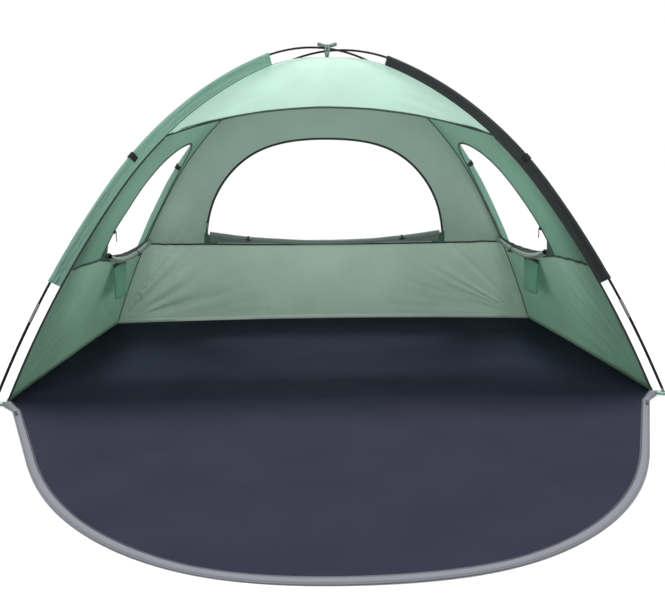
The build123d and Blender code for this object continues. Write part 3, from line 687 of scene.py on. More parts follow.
def add_band(heap, side, path, width, thickness, lift=0.0, number=0, closed=False):
    """A band on a side of the dome along a flat path, straddling the cloth at lift."""
    shares = (-1, -0.94, 0.94, 1)
    lower, upper = [], []
    for across in shares:
        edge = offset_path(path, across * width / 2, closed)
        proud = thickness / 2 * (0.5 if abs(across) == 1 else 1.0)
        lower.append(side.place(edge, lift - proud))
        upper.append(side.place(edge, lift + proud))
    ring = np.stack(lower + upper[::-1], axis=1)
    count, around = ring.shape[:2]
    flat = np.zeros(ring.shape)
    flat[:, :, 0] = run_lengths(ring[:, 0])[:, None]
    flat[:, :, 1] = np.array(shares + shares[::-1])[None] * width / 2
    faces = ring_faces(count, around, capped=not closed)
    if closed:
        last = (count - 1) * around
        faces += [(last + i, last + (i + 1) % around, (i + 1) % around, i) for i in range(around)]
    heap.add(ring.reshape(-1, 3), faces, number, flat.reshape(-1, 3))


def lying_on(side, path, lift):
    """A flat path as points at a lift from a side, with directions away from the cloth."""
    points = side.place(path, lift)
    return points, (side.place(path, lift + 0.001) - points) * np.sign(lift or 1.0)


def stitch_on(heap, side, path, lift, closed=False):
    """Stitches along a flat path on a side of the dome."""
    path = np.vstack((path, path[:1])) if closed else np.asarray(path)
    add_stitches(heap, *lying_on(side, path, lift))


def coil_on(heap, side, path, lift):
    """Zip teeth along a flat path on a side of the dome."""
    add_coil(heap, *lying_on(side, path, lift))


def curve_through(points, start=None, end=None, spacing=0.008):
    """A cubic spline through points, with end directions where given."""
    points = np.asarray(points, float)
    gaps = np.linalg.norm(np.diff(points, axis=0), axis=1)
    knots = np.concatenate(([0.0], np.cumsum(gaps)))
    count = len(points)
    matrix, right = np.zeros((count, count)), np.zeros(points.shape)
    for i in range(1, count - 1):
        matrix[i, i - 1:i + 2] = (gaps[i], 2 * (gaps[i - 1] + gaps[i]), gaps[i - 1])
        right[i] = 3 * (gaps[i] * (points[i] - points[i - 1]) / gaps[i - 1]
                        + gaps[i - 1] * (points[i + 1] - points[i]) / gaps[i])
    for row, near, direction in ((0, 1, start), (count - 1, count - 2, end)):
        if direction is not None:
            matrix[row, row] = 1.0
            right[row] = np.asarray(direction, float) / np.linalg.norm(direction)
        else:
            matrix[row, row], matrix[row, near] = 2.0, 1.0
            gap = gaps[0] if row == 0 else gaps[-1]
            right[row] = 3 * (points[max(row, near)] - points[min(row, near)]) / gap
    slopes = np.linalg.solve(matrix, right)
    places = np.linspace(0, knots[-1], max(3, int(knots[-1] / spacing)))
    index = np.clip(np.searchsorted(knots, places, side="right") - 1, 0, count - 2)
    t = ((places - knots[index]) / gaps[index])[:, None]
    gap = gaps[index][:, None]
    return ((2 * t**3 - 3 * t**2 + 1) * points[index] + (t**3 - 2 * t**2 + t) * gap * slopes[index]
            + (-2 * t**3 + 3 * t**2) * points[index + 1] + (t**3 - t**2) * gap * slopes[index + 1])


# Which CAD nodes each piece hides, and what it moves with ---------------------------------------------
def label(piece, slot, *nodes):
    """Hides the CAD nodes that a piece stands for. The piece and its material slot are not used."""
    if nodes:
        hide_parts(*nodes)


def sew_on(piece, slot, *nodes):
    """Attaches a piece to the shelter's body and hides the CAD nodes that it stands for."""
    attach(piece, "shelter")
    label(piece, slot, *nodes)


# Walls --------------------------------------------------------------------------------------------
def floor_lift(level, half, height):
    """How far the tension of a wall lifts the floor's edge between its corners."""
    return height * (1 - np.clip(np.asarray(level) / half, -1, 1) ** 2)


CLOTH_TOP = CROWN - SEAM_INSET - 1e-4
FOOT_HEIGHT = 0.002
EDGE_LIFT = {"rear": 0.017, "left": 0.006, "right": 0.006}
SILL = SEAM_HEIGHT + SILL_RISE
SEAM_SAG = {"rear": (0.009, 0.0, 1.05), "left": (0.027, 0.160, 0.355), "right": (0.027, 0.160, 0.355)}


def seam_droop(side_name, level):
    """How far the level seam and the sill above it hang below a straight line."""
    depth, middle, reach = SEAM_SAG[side_name]
    return depth * np.clip(1 - ((np.asarray(level) - middle) / reach) ** 2, 0, 1)


def wall_foot(side_name):
    """Where a wall meets the floor, as flat places from one corner to the other."""
    side = SIDES[side_name]
    half = float(side.half(side.down_at(FOOT_HEIGHT)))
    level = np.linspace(-half, half, 61)
    height = FOOT_HEIGHT + floor_lift(level, half, EDGE_LIFT[side_name])
    return np.column_stack((level, side.down_at(height)))


def level_line(side_name, height):
    """A level seam across a side, drooping a little, as flat places."""
    side = SIDES[side_name]
    down = float(side.down_at(height))
    half = float(side.half(down))
    level = np.linspace(-half, half, 121)
    return np.column_stack((level, side.down_at(height - seam_droop(side_name, level))))


def diagonal_edge(side_name, high, low, sign):
    """The edge of a side along a pole, from one height down to another."""
    side = SIDES[side_name]
    down = np.linspace(float(side.down_at(high)), float(side.down_at(low)), 60)
    return np.column_stack((sign * side.half(down), down))


def window_outline(side_name):
    """The cut edge of a window as a closed loop of flat places."""
    if side_name == "rear":
        half = [(0.600, SEAM_HEIGHT), (0.548, 0.640), (0.345, 0.862), (0.0, 0.931)]
        points = [(-x, z) for x, z in half] + half[-2::-1]
        edge = curve_through(points, (0.1, 1), (0.1, -1))
    else:
        edge = curve_through([(-0.206, SEAM_HEIGHT), (-0.198, 0.560), (-0.165, 0.700), (-0.090, 0.814),
                              (0.030, 0.880), (0.165, 0.896), (0.290, 0.857), (0.385, 0.760), (0.458, 0.620),
                              (0.505, SEAM_HEIGHT)])
    edge = edge[edge[:, 1] > SILL - seam_droop(side_name, edge[:, 0])]
    sill = np.linspace(edge[-1, 0], edge[0, 0], 50)
    edge = np.vstack((edge, np.column_stack((sill, SILL - seam_droop(side_name, sill)))))
    edge = even(np.vstack((edge, edge[:1])), 0.011)[:-1]
    return np.column_stack((edge[:, 0], SIDES[side_name].down_at(edge[:, 1])))


WINDOWS = {side_name: window_outline(side_name) for side_name in WALLS}


def wall_node(side_name, level_name):
    """The name of a wall's CAD node."""
    return f"rear_wall_{level_name}" if side_name == "rear" else f"side_wall_{level_name}_{side_name}"


def make_wall(side_name, level_name, outline, material, holes=()):
    """One panel of a wall, cut to its outline and held taut."""
    node = wall_node(side_name, level_name)
    wall = cloth(f"{node}_cloth", outline, SIDES[side_name].place, material, holes)
    sew_on(wall, "wall_fabric", node)


def make_walls():
    """A lower and an upper panel on each walled side, joined at the level seam."""
    for side_name in WALLS:
        seam = level_line(side_name, SEAM_HEIGHT)
        foot = wall_foot(side_name)
        lower_cloth = WALL_LOWER if side_name == "rear" else SIDE_LOWER
        upper_cloth = WALL_UPPER if side_name == "rear" else SIDE_UPPER
        left, right = (diagonal_edge(side_name, SEAM_HEIGHT, FOOT_HEIGHT, sign) for sign in (-1, 1))
        outline = np.vstack((seam[:-1], right[:-1], foot[::-1][:-1], left[::-1][:-1]))
        make_wall(side_name, "lower", outline, lower_cloth)
        left, right = (diagonal_edge(side_name, CLOTH_TOP, SEAM_HEIGHT, sign) for sign in (-1, 1))
        outline = np.vstack((right[:-1], seam[::-1][:-1], left[::-1]))
        make_wall(side_name, "upper", outline, upper_cloth, [WINDOWS[side_name]])


def hem_height(x):
    """Height of the awning's hem, a round arc seen from the front."""
    rise = HEM_MIDDLE - HEM_END
    radius = (HEM_END_X ** 2 + rise ** 2) / (2 * rise)
    return HEM_MIDDLE - radius + np.sqrt(radius ** 2 - np.asarray(x) ** 2)


def make_awning():
    """The short panel over the doorway, with a bound and stitched hem."""
    x = np.linspace(-HEM_END_X, HEM_END_X, 111)
    hem = np.column_stack((x, front.down_at(hem_height(x))))
    hem[[0, -1], 0] = front.half(hem[[0, -1], 1]) * (-1, 1)
    left, right = (diagonal_edge("front", CLOTH_TOP, HEM_END, sign) for sign in (-1, 1))
    outline = np.vstack((right[:-1], hem[::-1][:-1], left[::-1]))
    awning = cloth("front_awning_cloth", outline, front.place, AWNING)
    sew_on(awning, "awning_fabric", "front_awning")
    heap = Heap()
    add_band(heap, front, hem, *HEM_BINDING)
    for offset in (-0.0045, -0.0075):
        stitch_on(heap, front, offset_path(hem, offset), 0.0006)
    sew_on(heap.piece("awning_hem_tape", [SEAM_TAPE, THREAD]), "binding_black", "awning_hem_binding")


def make_window_tapes():
    """Zip tape with its teeth round each window, stitched on both faces."""
    for side_name in WALLS:
        side = SIDES[side_name]
        loop = resample(WINDOWS[side_name], 0.010)
        inward = 1 if np.mean(np.cross(loop - loop.mean(0), np.roll(loop, -1, axis=0) - loop)) > 0 else -1
        heap = Heap()
        add_band(heap, side, offset_path(loop, inward * 0.0020, True), *WINDOW_TAPE, closed=True)
        coil_on(heap, side, offset_path(loop, inward * 0.0052, True), -0.0018)
        for lift in (-0.0014, 0.0014):
            stitch_on(heap, side, offset_path(loop, inward * -0.0018, True), lift, closed=True)
        tape = heap.piece(f"window_tape_{side_name}", [BLACK_TAPE, DARK_THREAD, COIL])
        sew_on(tape, "binding_black", f"window_zip_tape_{side_name}")


GARAGE_CUT = [(0.010, 0.016), (0.004, -0.046), (-0.006, -0.048), (-0.052, -0.004), (-0.056, 0.012)]


def make_zip_garages():
    """Small dark cloth flaps that cover the zip ends at the lower corners of the windows."""
    for side_name, sign in (("rear", -1), ("rear", 1), ("left", -1), ("right", -1)):
        side = SIDES[side_name]
        window = WINDOWS[side_name]
        corners = window[window[:, 1] > side.down_at(SILL + 0.012)]
        level = float(corners[:, 0].max() if sign > 0 else corners[:, 0].min())
        sill_down = float(side.down_at(SILL - seam_droop(side_name, level)))
        outline = [(level + sign * out, sill_down + down) for out, down in GARAGE_CUT]

        def place(flat, lift):
            return side.place(flat, lift - INSIDE_TAPE)

        name = f"zip_garage_{side_name}_{'right' if sign > 0 else 'left'}"
        flap = cloth(name, outline, place, GARAGE, spacing=0.005)
        wall_node(side_name, "upper") + "_cloth"
        sew_on(flap, "wall_fabric")


def make_seam_tapes():
    """Bound seams on the inside: level ones below the windows, and one up each diagonal."""
    for side_name in WALLS:
        side = SIDES[side_name]
        seam = level_line(side_name, SEAM_HEIGHT)
        heap = Heap()
        add_band(heap, side, seam, *SEAM_BINDING)
        for offset in (-0.007, 0.007):
            for lift in (-0.0007, 0.0007):
                stitch_on(heap, side, offset_path(seam, offset), lift)
        sew_on(heap.piece(f"seam_tape_{side_name}", [SEAM_TAPE, DARK_THREAD]), "binding_black")
    for corner in CORNERS:
        binding = REAR_CORNER_BINDING if corner.startswith("rear") else FRONT_CORNER_BINDING
        places = np.arange(0.02, HALF_POLE, 0.012)
        places = places[np.interp(places, stations, seam_height) > 0.003]
        reach, height, slope = (np.interp(places, stations, row)
                                for row in (seam_reach, seam_height, pole_slope))
        outward, across = corner_axes(corner)
        up = -(np.outer(np.sin(slope), outward) + np.outer(np.cos(slope), (0, 0, 1)))
        centres = np.outer(reach, outward) + np.outer(height, (0, 0, 1)) + up * 0.0014
        heap = Heap()
        add_sweep(heap, centres, across, up, flat_section(*binding))
        sew_on(heap.piece(f"corner_seam_tape_{corner}", [SEAM_TAPE]), "binding_black")


def make_front_hems():
    """The side walls' cloth turned in along the doorway and stitched down."""
    heap = Heap()
    edge = diagonal_edge("left", HEM_END, 0.010, -1)
    for side in (SIDES["left"], SIDES["right"]):
        add_band(heap, side, edge + (0.0140, 0.0), *FRONT_TURNING, lift=-0.0008)
        for inset in (0.0060, 0.0225):
            stitch_on(heap, side, edge + (inset, 0.0), -0.0020)
    sew_on(heap.piece("side_wall_front_hems", [SIDE_HEM, THREAD]), "wall_fabric")


def make_doorway_tapes():
    """The doorway's half of the porch zip, just inside both front poles."""
    heap = Heap()
    for sign in (-1, 1):
        edge = diagonal_edge("front", HEM_END - 0.004, 0.004, sign)
        add_band(heap, front, edge - (sign * 0.0040, 0.0), *DOORWAY_TAPE)
        coil_on(heap, front, edge - (sign * 0.0076, 0.0), -0.0010)
        stitch_on(heap, front, edge - (sign * 0.0038, 0.0), 0.0009)
    tape = heap.piece("doorway_tapes", [BLACK_TAPE, DARK_THREAD, COIL])
    sew_on(tape, "binding_black", "doorway_zip_tapes")
# Floor and porch ----------------------------------------------------------------------------------
def floor_place(flat, lift):
    """The groundsheet: flat on the ground, lifted a little along the walls, with faint folds."""
    x, y = flat[:, 0], flat[:, 1]
    half_x, half_y = FLOOR_WIDTH / 2, FLOOR_DEPTH / 2
    z = floor_lift(x, half_x, EDGE_LIFT["rear"]) * smooth(1 - (half_y - y) / 0.16)
    z += floor_lift(y, half_y, EDGE_LIFT["left"]) * smooth(1 - (half_x - np.abs(x)) / 0.12)
    folds = 0.0018 * (wobble(flat, (2.2, 5.0), 11.0) + 0.6) + 0.0012 * np.abs(wobble(flat, (5.5, 3.5), 12.0))
    edge = smooth(np.minimum(half_x - np.abs(x), half_y - np.abs(y)) / 0.10)
    z = z + np.maximum(folds, 0) * edge + 0.0012 + lift
    return np.column_stack((x, y, z))


def make_floor():
    """The groundsheet inside the shelter."""
    half_x, half_y = FLOOR_WIDTH / 2, FLOOR_DEPTH / 2
    outline = [(-half_x, -half_y), (half_x, -half_y), (half_x, half_y), (-half_x, half_y)]
    sheet = cloth("floor_sheet", outline, floor_place, FLOOR, spacing=0.020, thickness=GROUND_CLOTH)
    sew_on(sheet, "floor_fabric", "floor_panel")


def make_wall_foot_hem():
    """The walls' foot, turned up on the inside and stitched to the floor's edge."""
    heap = Heap()
    for side_name in WALLS:
        side, foot = SIDES[side_name], wall_foot(side_name)
        number = 0 if side_name == "rear" else 2
        add_band(heap, side, offset_path(foot, -0.011), *FOOT_TURNING, lift=-0.0006, number=number)
        stitch_on(heap, side, offset_path(foot, -0.0185), -0.0021)
    sew_on(heap.piece("wall_foot_hem", [WALL_HEM, DARK_THREAD, SIDE_LOWER]), "wall_fabric")


PORCH_HALF = porch_high.x
HINGE_Y = porch_high.y
PORCH_FRONT = porch_low.y


def porch_edge(inset):
    """Right half of the porch's outline, from the hinge line to the middle of the front."""
    start = (PORCH_HALF, HINGE_Y)
    straight = np.array(PORCH_TURN) - start
    straight = straight / np.linalg.norm(straight)
    bow = [PORCH_TURN, (0.577, -1.514), (0.300, -1.692), (0.0, PORCH_FRONT)]
    line = even(np.vstack((start, curve_through(bow, straight, (-1, 0), 0.012))), 0.012)
    moved = offset_path(line, -inset)
    moved[:, 0] = np.maximum(moved[:, 0], 0.0)
    moved[-1, 0] = 0.0
    return moved


def whole_edge(inset):
    """The porch's outline from the right end of the hinge line round to its left end."""
    half = porch_edge(inset)
    return np.vstack((half, half[:-1][::-1] * (-1, 1)))


def drawn_out(line):
    """The porch's edge near the hinge, pulled out towards the floor's corner."""
    pull = 0.026 * smooth(1 - (HINGE_Y - line[:, 1]) / 0.085)
    return line + np.column_stack((np.sign(line[:, 0]) * pull, np.zeros(len(line))))


def porch_rise(flat):
    """Gentle waves in the porch as it lies on the ground."""
    waves = 0.0022 * (wobble(flat, (1.6, 3.4), 21.0) + 0.55)
    waves += 0.0014 * np.abs(wobble(flat, (3.2, 6.0), 22.0))
    return np.maximum(waves, 0) * smooth((HINGE_Y - flat[:, 1]) / 0.15)


def porch_place(flat, lift):
    return np.column_stack((flat, porch_rise(flat) + 0.0013 + lift))


def fold_at_hinge(piece):
    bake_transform(piece)


def make_porch():
    """The porch sheet and the zip tape round its edge."""
    outline = drawn_out(whole_edge(PORCH_TAPE - 0.006))
    outline[[0, -1], 1] = HINGE_Y
    sheet = cloth("porch_sheet", outline, porch_place, PORCH, spacing=0.018, thickness=GROUND_CLOTH)
    label(sheet, "porch_fabric", "porch_mat")
    fold_at_hinge(sheet)
    heap = Heap()
    centre = whole_edge(PORCH_TAPE / 2)
    base = np.column_stack((drawn_out(centre), porch_rise(centre) + 0.0022))
    base[:, 2] += 0.010 * smooth(1 - np.abs(HINGE_Y - 0.020 - centre[:, 1]) / 0.045)
    up = np.tile((0.0, 0.0, 1.0), (len(base), 1))
    across = unit(np.cross(up, headings(base)))
    add_sweep(heap, base, across, up, flat_section(PORCH_TAPE, 0.0016))
    for offset in (0.0095, 0.0070):
        add_stitches(heap, base + across * offset + up * 0.0009, up)
    add_coil(heap, base - across * (PORCH_TAPE / 2 - 0.0025) + up * 0.0012, up)
    tape = heap.piece("porch_tape", [TRIM_TAPE, DARK_THREAD, COIL])
    label(tape, "zip_tape_grey", "porch_zip_tape")
    fold_at_hinge(tape)
# Sleeves ------------------------------------------------------------------------------------------
SLEEVE_RADIUS = 0.0078
SLEEVE_HEM = 0.016


def corner_lift(corner):
    """How far the pole that ends at a corner runs above the nominal line."""
    return POLE_STACK if corner in ("front_left", "rear_right") else -POLE_STACK


def pole_frame(corner, distances):
    """Centres on a pole's axis with directions across the pole's plane and inwards to the cloth."""
    outward, across = corner_axes(corner)
    reach, drop, slope = (np.interp(distances, stations, row) for row in (pole_reach, pole_drop, pole_slope))
    centres = np.outer(reach, outward) + np.outer(CROWN - drop + corner_lift(corner), (0, 0, 1))
    inwards = -(np.outer(np.sin(slope), outward) + np.outer(np.cos(slope), (0, 0, 1)))
    return centres, across, inwards


def sleeve_half_width(inward, radius, web_end):
    """Half the sleeve's width at a distance inwards from the pole's axis: round over the pole,
    then drawn in to the seam."""
    if inward < 0:
        return sqrt(max(0.0, radius ** 2 - inward ** 2))
    share = min(1.0, inward / web_end)
    return radius * (1 - share) ** 1.9 + 0.0016 * share


def sleeve_section(radius, web_end, thickness, wrinkle):
    """Closed section of a sleeve's cloth. wrinkle(around, hand) moves the cloth out and in."""
    turns = 11
    depth = [web_end * (1 - (i / turns) ** 0.9) for i in range(turns)]
    depth += [-radius * sin(pi / 2 * i / 5) for i in range(6)]
    outer, inner, far_outer, far_inner = [], [], [], []
    for number, inward in enumerate(depth):
        near, far = wrinkle(number, 1), wrinkle(number, -1)
        free = min(1, number / 3)
        half = sleeve_half_width(inward, radius, web_end) + near * free * (inward > -radius * 0.9)
        far_half = half + (far - near) * free * 0.5
        inner_inward = inward + (thickness if inward < -radius * 0.6 else 0)
        outer.append((half, inward))
        inner.append((max(0.0002, half - thickness), inner_inward))
        far_outer.append((-far_half, inward))
        far_inner.append((-max(0.0002, far_half - thickness), inner_inward))
    return outer[:-1] + far_outer[::-1] + far_inner + inner[:-1][::-1]


def sleeve_wrinkle(number, place, gather):
    """Creases of one sleeve at a place along it, as a function of the place round its section."""
    def wrinkle(around, hand):
        fine = noise.noise(Vector((place * 34, around * 0.35 * hand, number * 7.0)))
        broad = noise.noise(Vector((place * 9 - around * 0.5, hand * 3.0, number * 5.0)))
        long = noise.noise(Vector((place * 5 + around * 0.2, around * 0.8, hand * 2.0 + number)))
        return 0.0012 * gather * fine + 0.0014 * broad + 0.0022 * long

    return wrinkle


def stitch_sleeve_end(heap, corner, end):
    """Stitches down both sides of a sleeve, along the hem at one of its ends."""
    count = 14
    centres, across, inwards = pole_frame(corner, np.full(count, end))
    web = SEAM_INSET + corner_lift(corner)
    depth = np.linspace(web - 0.003, 0.002, count)
    half = np.array([sleeve_half_width(inward, 0.0088, web) for inward in depth]) + 0.0006
    for hand in (-1, 1):
        line = centres + inwards * depth[:, None] + across * (hand * half)[:, None]
        add_stitches(heap, line, np.tile(across * hand, (count, 1)), pitch=0.005)


def make_sleeves():
    distances = np.arange(SLEEVE_TOP, HALF_POLE - SLEEVE_BOTTOM + 0.001, 0.007)
    for number, corner in enumerate(CORNERS):
        grey = corner == "front_right"
        centres, across, inwards = pole_frame(corner, distances)
        slope = np.interp(distances, stations, pole_slope)
        web_end = SEAM_INSET + 0.001 + corner_lift(corner) * np.cos(slope)
        sections = []
        for place, web in zip(distances, web_end):
            from_end = min(place - SLEEVE_TOP, distances[-1] - place)
            radius = SLEEVE_RADIUS + (SLEEVE_CLOTH if from_end < SLEEVE_HEM else 0.0)
            wrinkle = sleeve_wrinkle(number, place, 1.0 + 2.6 * np.exp(-from_end / 0.05))
            sections.append(sleeve_section(radius, web, SLEEVE_CLOTH, wrinkle))
        heap = Heap()
        add_sweep(heap, centres, across, inwards, sections)
        for end in (SLEEVE_TOP + 0.015, HALF_POLE - SLEEVE_BOTTOM - 0.015):
            stitch_sleeve_end(heap, corner, end)
        for hand in (-1, 1):
            side_line = centres + inwards * (web_end - 0.0065)[:, None] + across * hand * 0.0042
            add_stitches(heap, side_line, np.tile(across * hand, (len(side_line), 1)))
        materials = [SLEEVE_GREY, DARK_THREAD] if grey else [SLEEVE_GREEN, THREAD]
        sleeve = heap.piece(f"sleeve_{corner}", materials)
        sew_on(sleeve, "sleeve_grey" if grey else "sleeve_green", f"pole_sleeve_{corner}")


def make_guy_loops():
    """A loop of webbing round each sleeve, sewn into the corner seam."""
    heap = Heap()
    section = sleeve_section(0.0118, 0.026, 0.0012, lambda around, hand: 0.0006)
    for corner in CORNERS:
        distances = np.linspace(GUY_LOOP_PLACE - 0.0115, GUY_LOOP_PLACE + 0.0115, 6)
        add_sweep(heap, *pole_frame(corner, distances), section)
    sew_on(heap.piece("guy_loops", [WEBBING]), "webbing_black", "sleeve_webbing_loops")
# Rolled window covers -----------------------------------------------------------------------------
ROLLS = {  # side: level middle, half length, lowest height, places of the ties along it
    "rear": (0.0, 0.575, 0.440, (-0.385, 0.385)),
    "left": (0.172, 0.345, 0.408, (0.150,)),
    "right": (0.172, 0.345, 0.408, (0.150,)),
}
ROLL_RADIUS = 0.0123
ROLL_CORE = 0.0028
WALL_SKIN = 0.003
TIE_RADIUS = 0.0131


def roll_line(side_name, level):
    """Axis of a roll with its directions: along, up the wall, and inwards."""
    side = SIDES[side_name]
    middle, half, height, _ = ROLLS[side_name]
    bend = (half ** 2 + ROLL_SAG ** 2) / (2 * ROLL_SAG)
    rise = bend - np.sqrt(bend ** 2 - level ** 2)
    flat = np.column_stack((middle + level, side.down_at(height) - rise))
    centres = side.place(flat, -(WALL_SKIN + 0.017), eased=False)
    inwards = unit(side.place(flat, -0.03, eased=False) - centres)
    along = unit(np.gradient(centres, axis=0))
    return centres, along, unit(np.cross(along, inwards)), inwards


def grid_sheet(rows, columns):
    """Faces of a closed thin sheet, from the points of its upper face and then of its lower one."""
    under = rows * columns
    faces = []
    for i in range(0, under - columns, columns):
        for j in range(i, i + columns - 1):
            a, b, c, d = j, j + 1, j + columns + 1, j + columns
            faces.append((a, b, c, d))
            faces.append((d + under, c + under, b + under, a + under))
    rim = [(i, i + columns) for i in range(0, under - columns, columns)]
    rim += [(j, j + 1) for j in range(under - columns, under - 1)]
    rim += [(i + columns, i) for i in range(columns - 1, under - columns, columns)][::-1]
    rim += [(j + 1, j) for j in range(columns - 1)]
    return faces + [(a, b, b + under, a + under) for a, b in rim]


def make_rolls():
    """Each cover is wound from its far edge, so its cloth is one spiral from the core outwards."""
    for number, side_name in enumerate(WALLS):
        _, half, _, ties = ROLLS[side_name]
        window = WINDOWS[side_name]
        drop = float(window[:, 1].max() - window[:, 1].min())
        growth = (ROLL_RADIUS ** 2 - ROLL_CORE ** 2) / drop
        turns = 2 / growth * (ROLL_RADIUS - ROLL_CORE)
        angles = np.linspace(0, turns, int(turns / (2 * pi) * 13))
        radii = ROLL_CORE + growth * angles / 2
        unrolled = (radii ** 2 - ROLL_CORE ** 2) / growth
        width = np.maximum((1 - np.clip(1 - unrolled / drop, 0, 1) ** 2.6) ** (1 / 2.6), 0.12)
        levels = np.outer(width, np.linspace(-1, 1, 71)) * half
        centres, _, _, inwards = (v.reshape(*levels.shape, 3) for v in roll_line(side_name, levels.ravel()))
        up = unit(np.cross(headings(centres, axis=1), inwards))
        turn = angles[:, None] + 0.6 * np.sin(levels * 5 + number)
        crease = np.array([noise.noise(Vector((cos(t) * 1.1, sin(t) * 1.1, level * 7 + number * 3)))
                           for t, level in zip(turn.ravel(), levels.ravel())]).reshape(levels.shape)
        tied = sum(np.exp(-((levels - tie) / 0.016) ** 2) for tie in ties)
        swell = 1 + 0.16 * crease * (1 - 0.8 * tied) - 0.07 * tied
        skins = []
        for half_cloth in (-ROLLED_CLOTH / 2, ROLLED_CLOTH / 2):
            radius = ((radii[:, None] + half_cloth) * swell)[..., None]
            skin = centres + radius * (np.cos(turn)[..., None] * up + np.sin(turn)[..., None] * inwards)
            skins.append(skin.reshape(-1, 3))
        flat = np.column_stack((levels.ravel(), np.repeat(unrolled, levels.shape[1]), np.zeros(levels.size)))
        roll = make_piece(f"rolled_cover_{side_name}", np.concatenate(skins), grid_sheet(*levels.shape),
                          [COVER], np.concatenate((flat, flat)))
        sew_on(roll, "cover_fabric", f"rolled_window_cover_{side_name}")


def root_edges(level):
    """The two long edges of the rear cover's unrolled root: sewn below the sill, and at the roll."""
    side = SIDES["rear"]
    sill_down = side.down_at(SILL - seam_droop("rear", level)) + 0.006
    sewn = side.place(np.column_stack((level, sill_down)), -INSIDE_TAPE)
    centres, _, _, inwards = roll_line("rear", level)
    return sewn, centres - 0.0105 * inwards, inwards


def make_cover_root():
    """The unrolled root of the rear cover, from the sill to the wall's side of the roll."""
    half = ROLLS["rear"][1]
    sewn, rolled, _ = root_edges(np.linspace(-half, half, 60))
    reach = float(np.linalg.norm(rolled - sewn, axis=1).mean())

    def place(flat, lift):
        share = flat[:, 1:] / reach
        sewn, rolled, inwards = root_edges(flat[:, 0])
        ripple = 0.0006 * np.sin(flat[:, :1] * 70) * share
        return sewn * (1 - share) + rolled * share - inwards * (lift + ripple)

    outline = [(-half, 0), (half, 0), (half, reach), (-half, reach)]
    root = cloth("cover_root_rear", outline, place, COVER, spacing=0.009)
    sew_on(root, "cover_fabric")


def make_cover_ties():
    """Webbing loops round the rolls, each with a short cord through its toggle."""
    cord_reach = np.linspace(TIE_RADIUS, 0.0216, 5)[:, None]
    knot_reach = np.linspace(0.0215, 0.0251, 7)[:, None]
    knot_sections = [circle(0.0030 * k, 12) for k in (0.35, 0.8, 1.0, 0.9, 1.0, 0.75, 0.3)]
    turns = np.linspace(0, 2 * pi, 33)[:, None]
    for side_name in WALLS:
        heap = Heap()
        for tie in ROLLS[side_name][3]:
            middle = np.array([tie - 0.002, tie, tie + 0.002])
            centre, along, up, inwards = (v[1] for v in roll_line(side_name, middle))
            spokes = np.cos(turns) * up + np.sin(turns) * inwards
            add_sweep(heap, centre + TIE_RADIUS * spokes, along, spokes, flat_section(*ROLL_TIE))
            add_sweep(heap, centre + inwards * cord_reach, along, up, circle(0.0014, 10))
            add_sweep(heap, centre + inwards * knot_reach, along, up, knot_sections)
        nodes = ["cover_tie_loops"] if side_name == "rear" else []
        sew_on(heap.piece(f"cover_ties_{side_name}", [WEBBING]), "webbing_black", *nodes)
# Pockets ------------------------------------------------------------------------------------------
def make_pockets():
    """A hanging pocket on each side wall, one cloth folded at the bottom."""
    for sign, side_name in ((-1, "left"), (1, "right")):
        low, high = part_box(f"side_pocket_{side_name}")
        wall_x = high.x if sign > 0 else low.x
        width, depth, tall = high.y - low.y, high.x - low.x, high.z - low.z

        def place(flat, lift):
            """The pouch unrolled: its back, round the bottom, and its bulging front."""
            share = np.clip(flat[:, 1] / (2 * tall), 0, 1)
            across = 2 * flat[:, 0] / width
            front_share = smooth((share - 0.46) / 0.08)
            fall = np.where(share < 0.5, share * 2, 2 - share * 2)
            slack = (1 - np.abs(across) ** 2.5) * np.sin(pi * np.clip(fall * 0.62 + 0.12, 0, 1))
            gather = 0.0016 * wobble(np.column_stack((flat[:, 0], fall * tall)), (42, 9), 31.0 + sign)
            stand = front_share * (0.0028 + 0.62 * depth * slack) + gather * (front_share + 0.2)
            x = wall_x - sign * (0.0012 + stand + lift)
            drawn = 1 - 0.07 * fall * front_share
            z = high.z - fall * tall + 0.010 * front_share * (1 - fall) * -across ** 2
            return np.column_stack((x, (low.y + high.y) / 2 + flat[:, 0] * drawn, z))

        outline = [(-width / 2, 0), (width / 2, 0), (width / 2, 2 * tall), (-width / 2, 2 * tall)]
        pouch = cloth(f"pocket_{side_name}", outline, place, POCKET, spacing=0.008)
        wall_node(side_name, "lower") + "_cloth"
        sew_on(pouch, "pocket_fabric", f"side_pocket_{side_name}")
        heap = Heap()
        level = np.linspace(-width / 2, width / 2, 40)
        for down in (2 * tall - 0.004, 0.004):
            above, below = (place(np.column_stack((level, np.full(40, down + shift))), 0.0)
                            for shift in (-0.004, 0.004))
            centres = (above + below) / 2
            across = unit(below - above)
            up = unit(np.cross(np.gradient(centres, axis=0), across))
            add_sweep(heap, centres, across, up, flat_section(*POCKET_BINDING))
        sew_on(heap.piece(f"pocket_hem_{side_name}", [SEAM_TAPE]), "pocket_fabric")
# Crown tie ----------------------------------------------------------------------------------------
def add_ribbon(heap, line, broad, width):
    """A tape along a smooth line, its width lying in the direction broad."""
    line = curve_through(line, spacing=0.002)
    along = headings(line)
    broad = unit(np.asarray(broad, float))
    across = unit(broad - along * (along @ broad)[:, None])
    add_sweep(heap, line, across, unit(np.cross(across, along)), flat_section(width, TIE_TAPE_THICK))


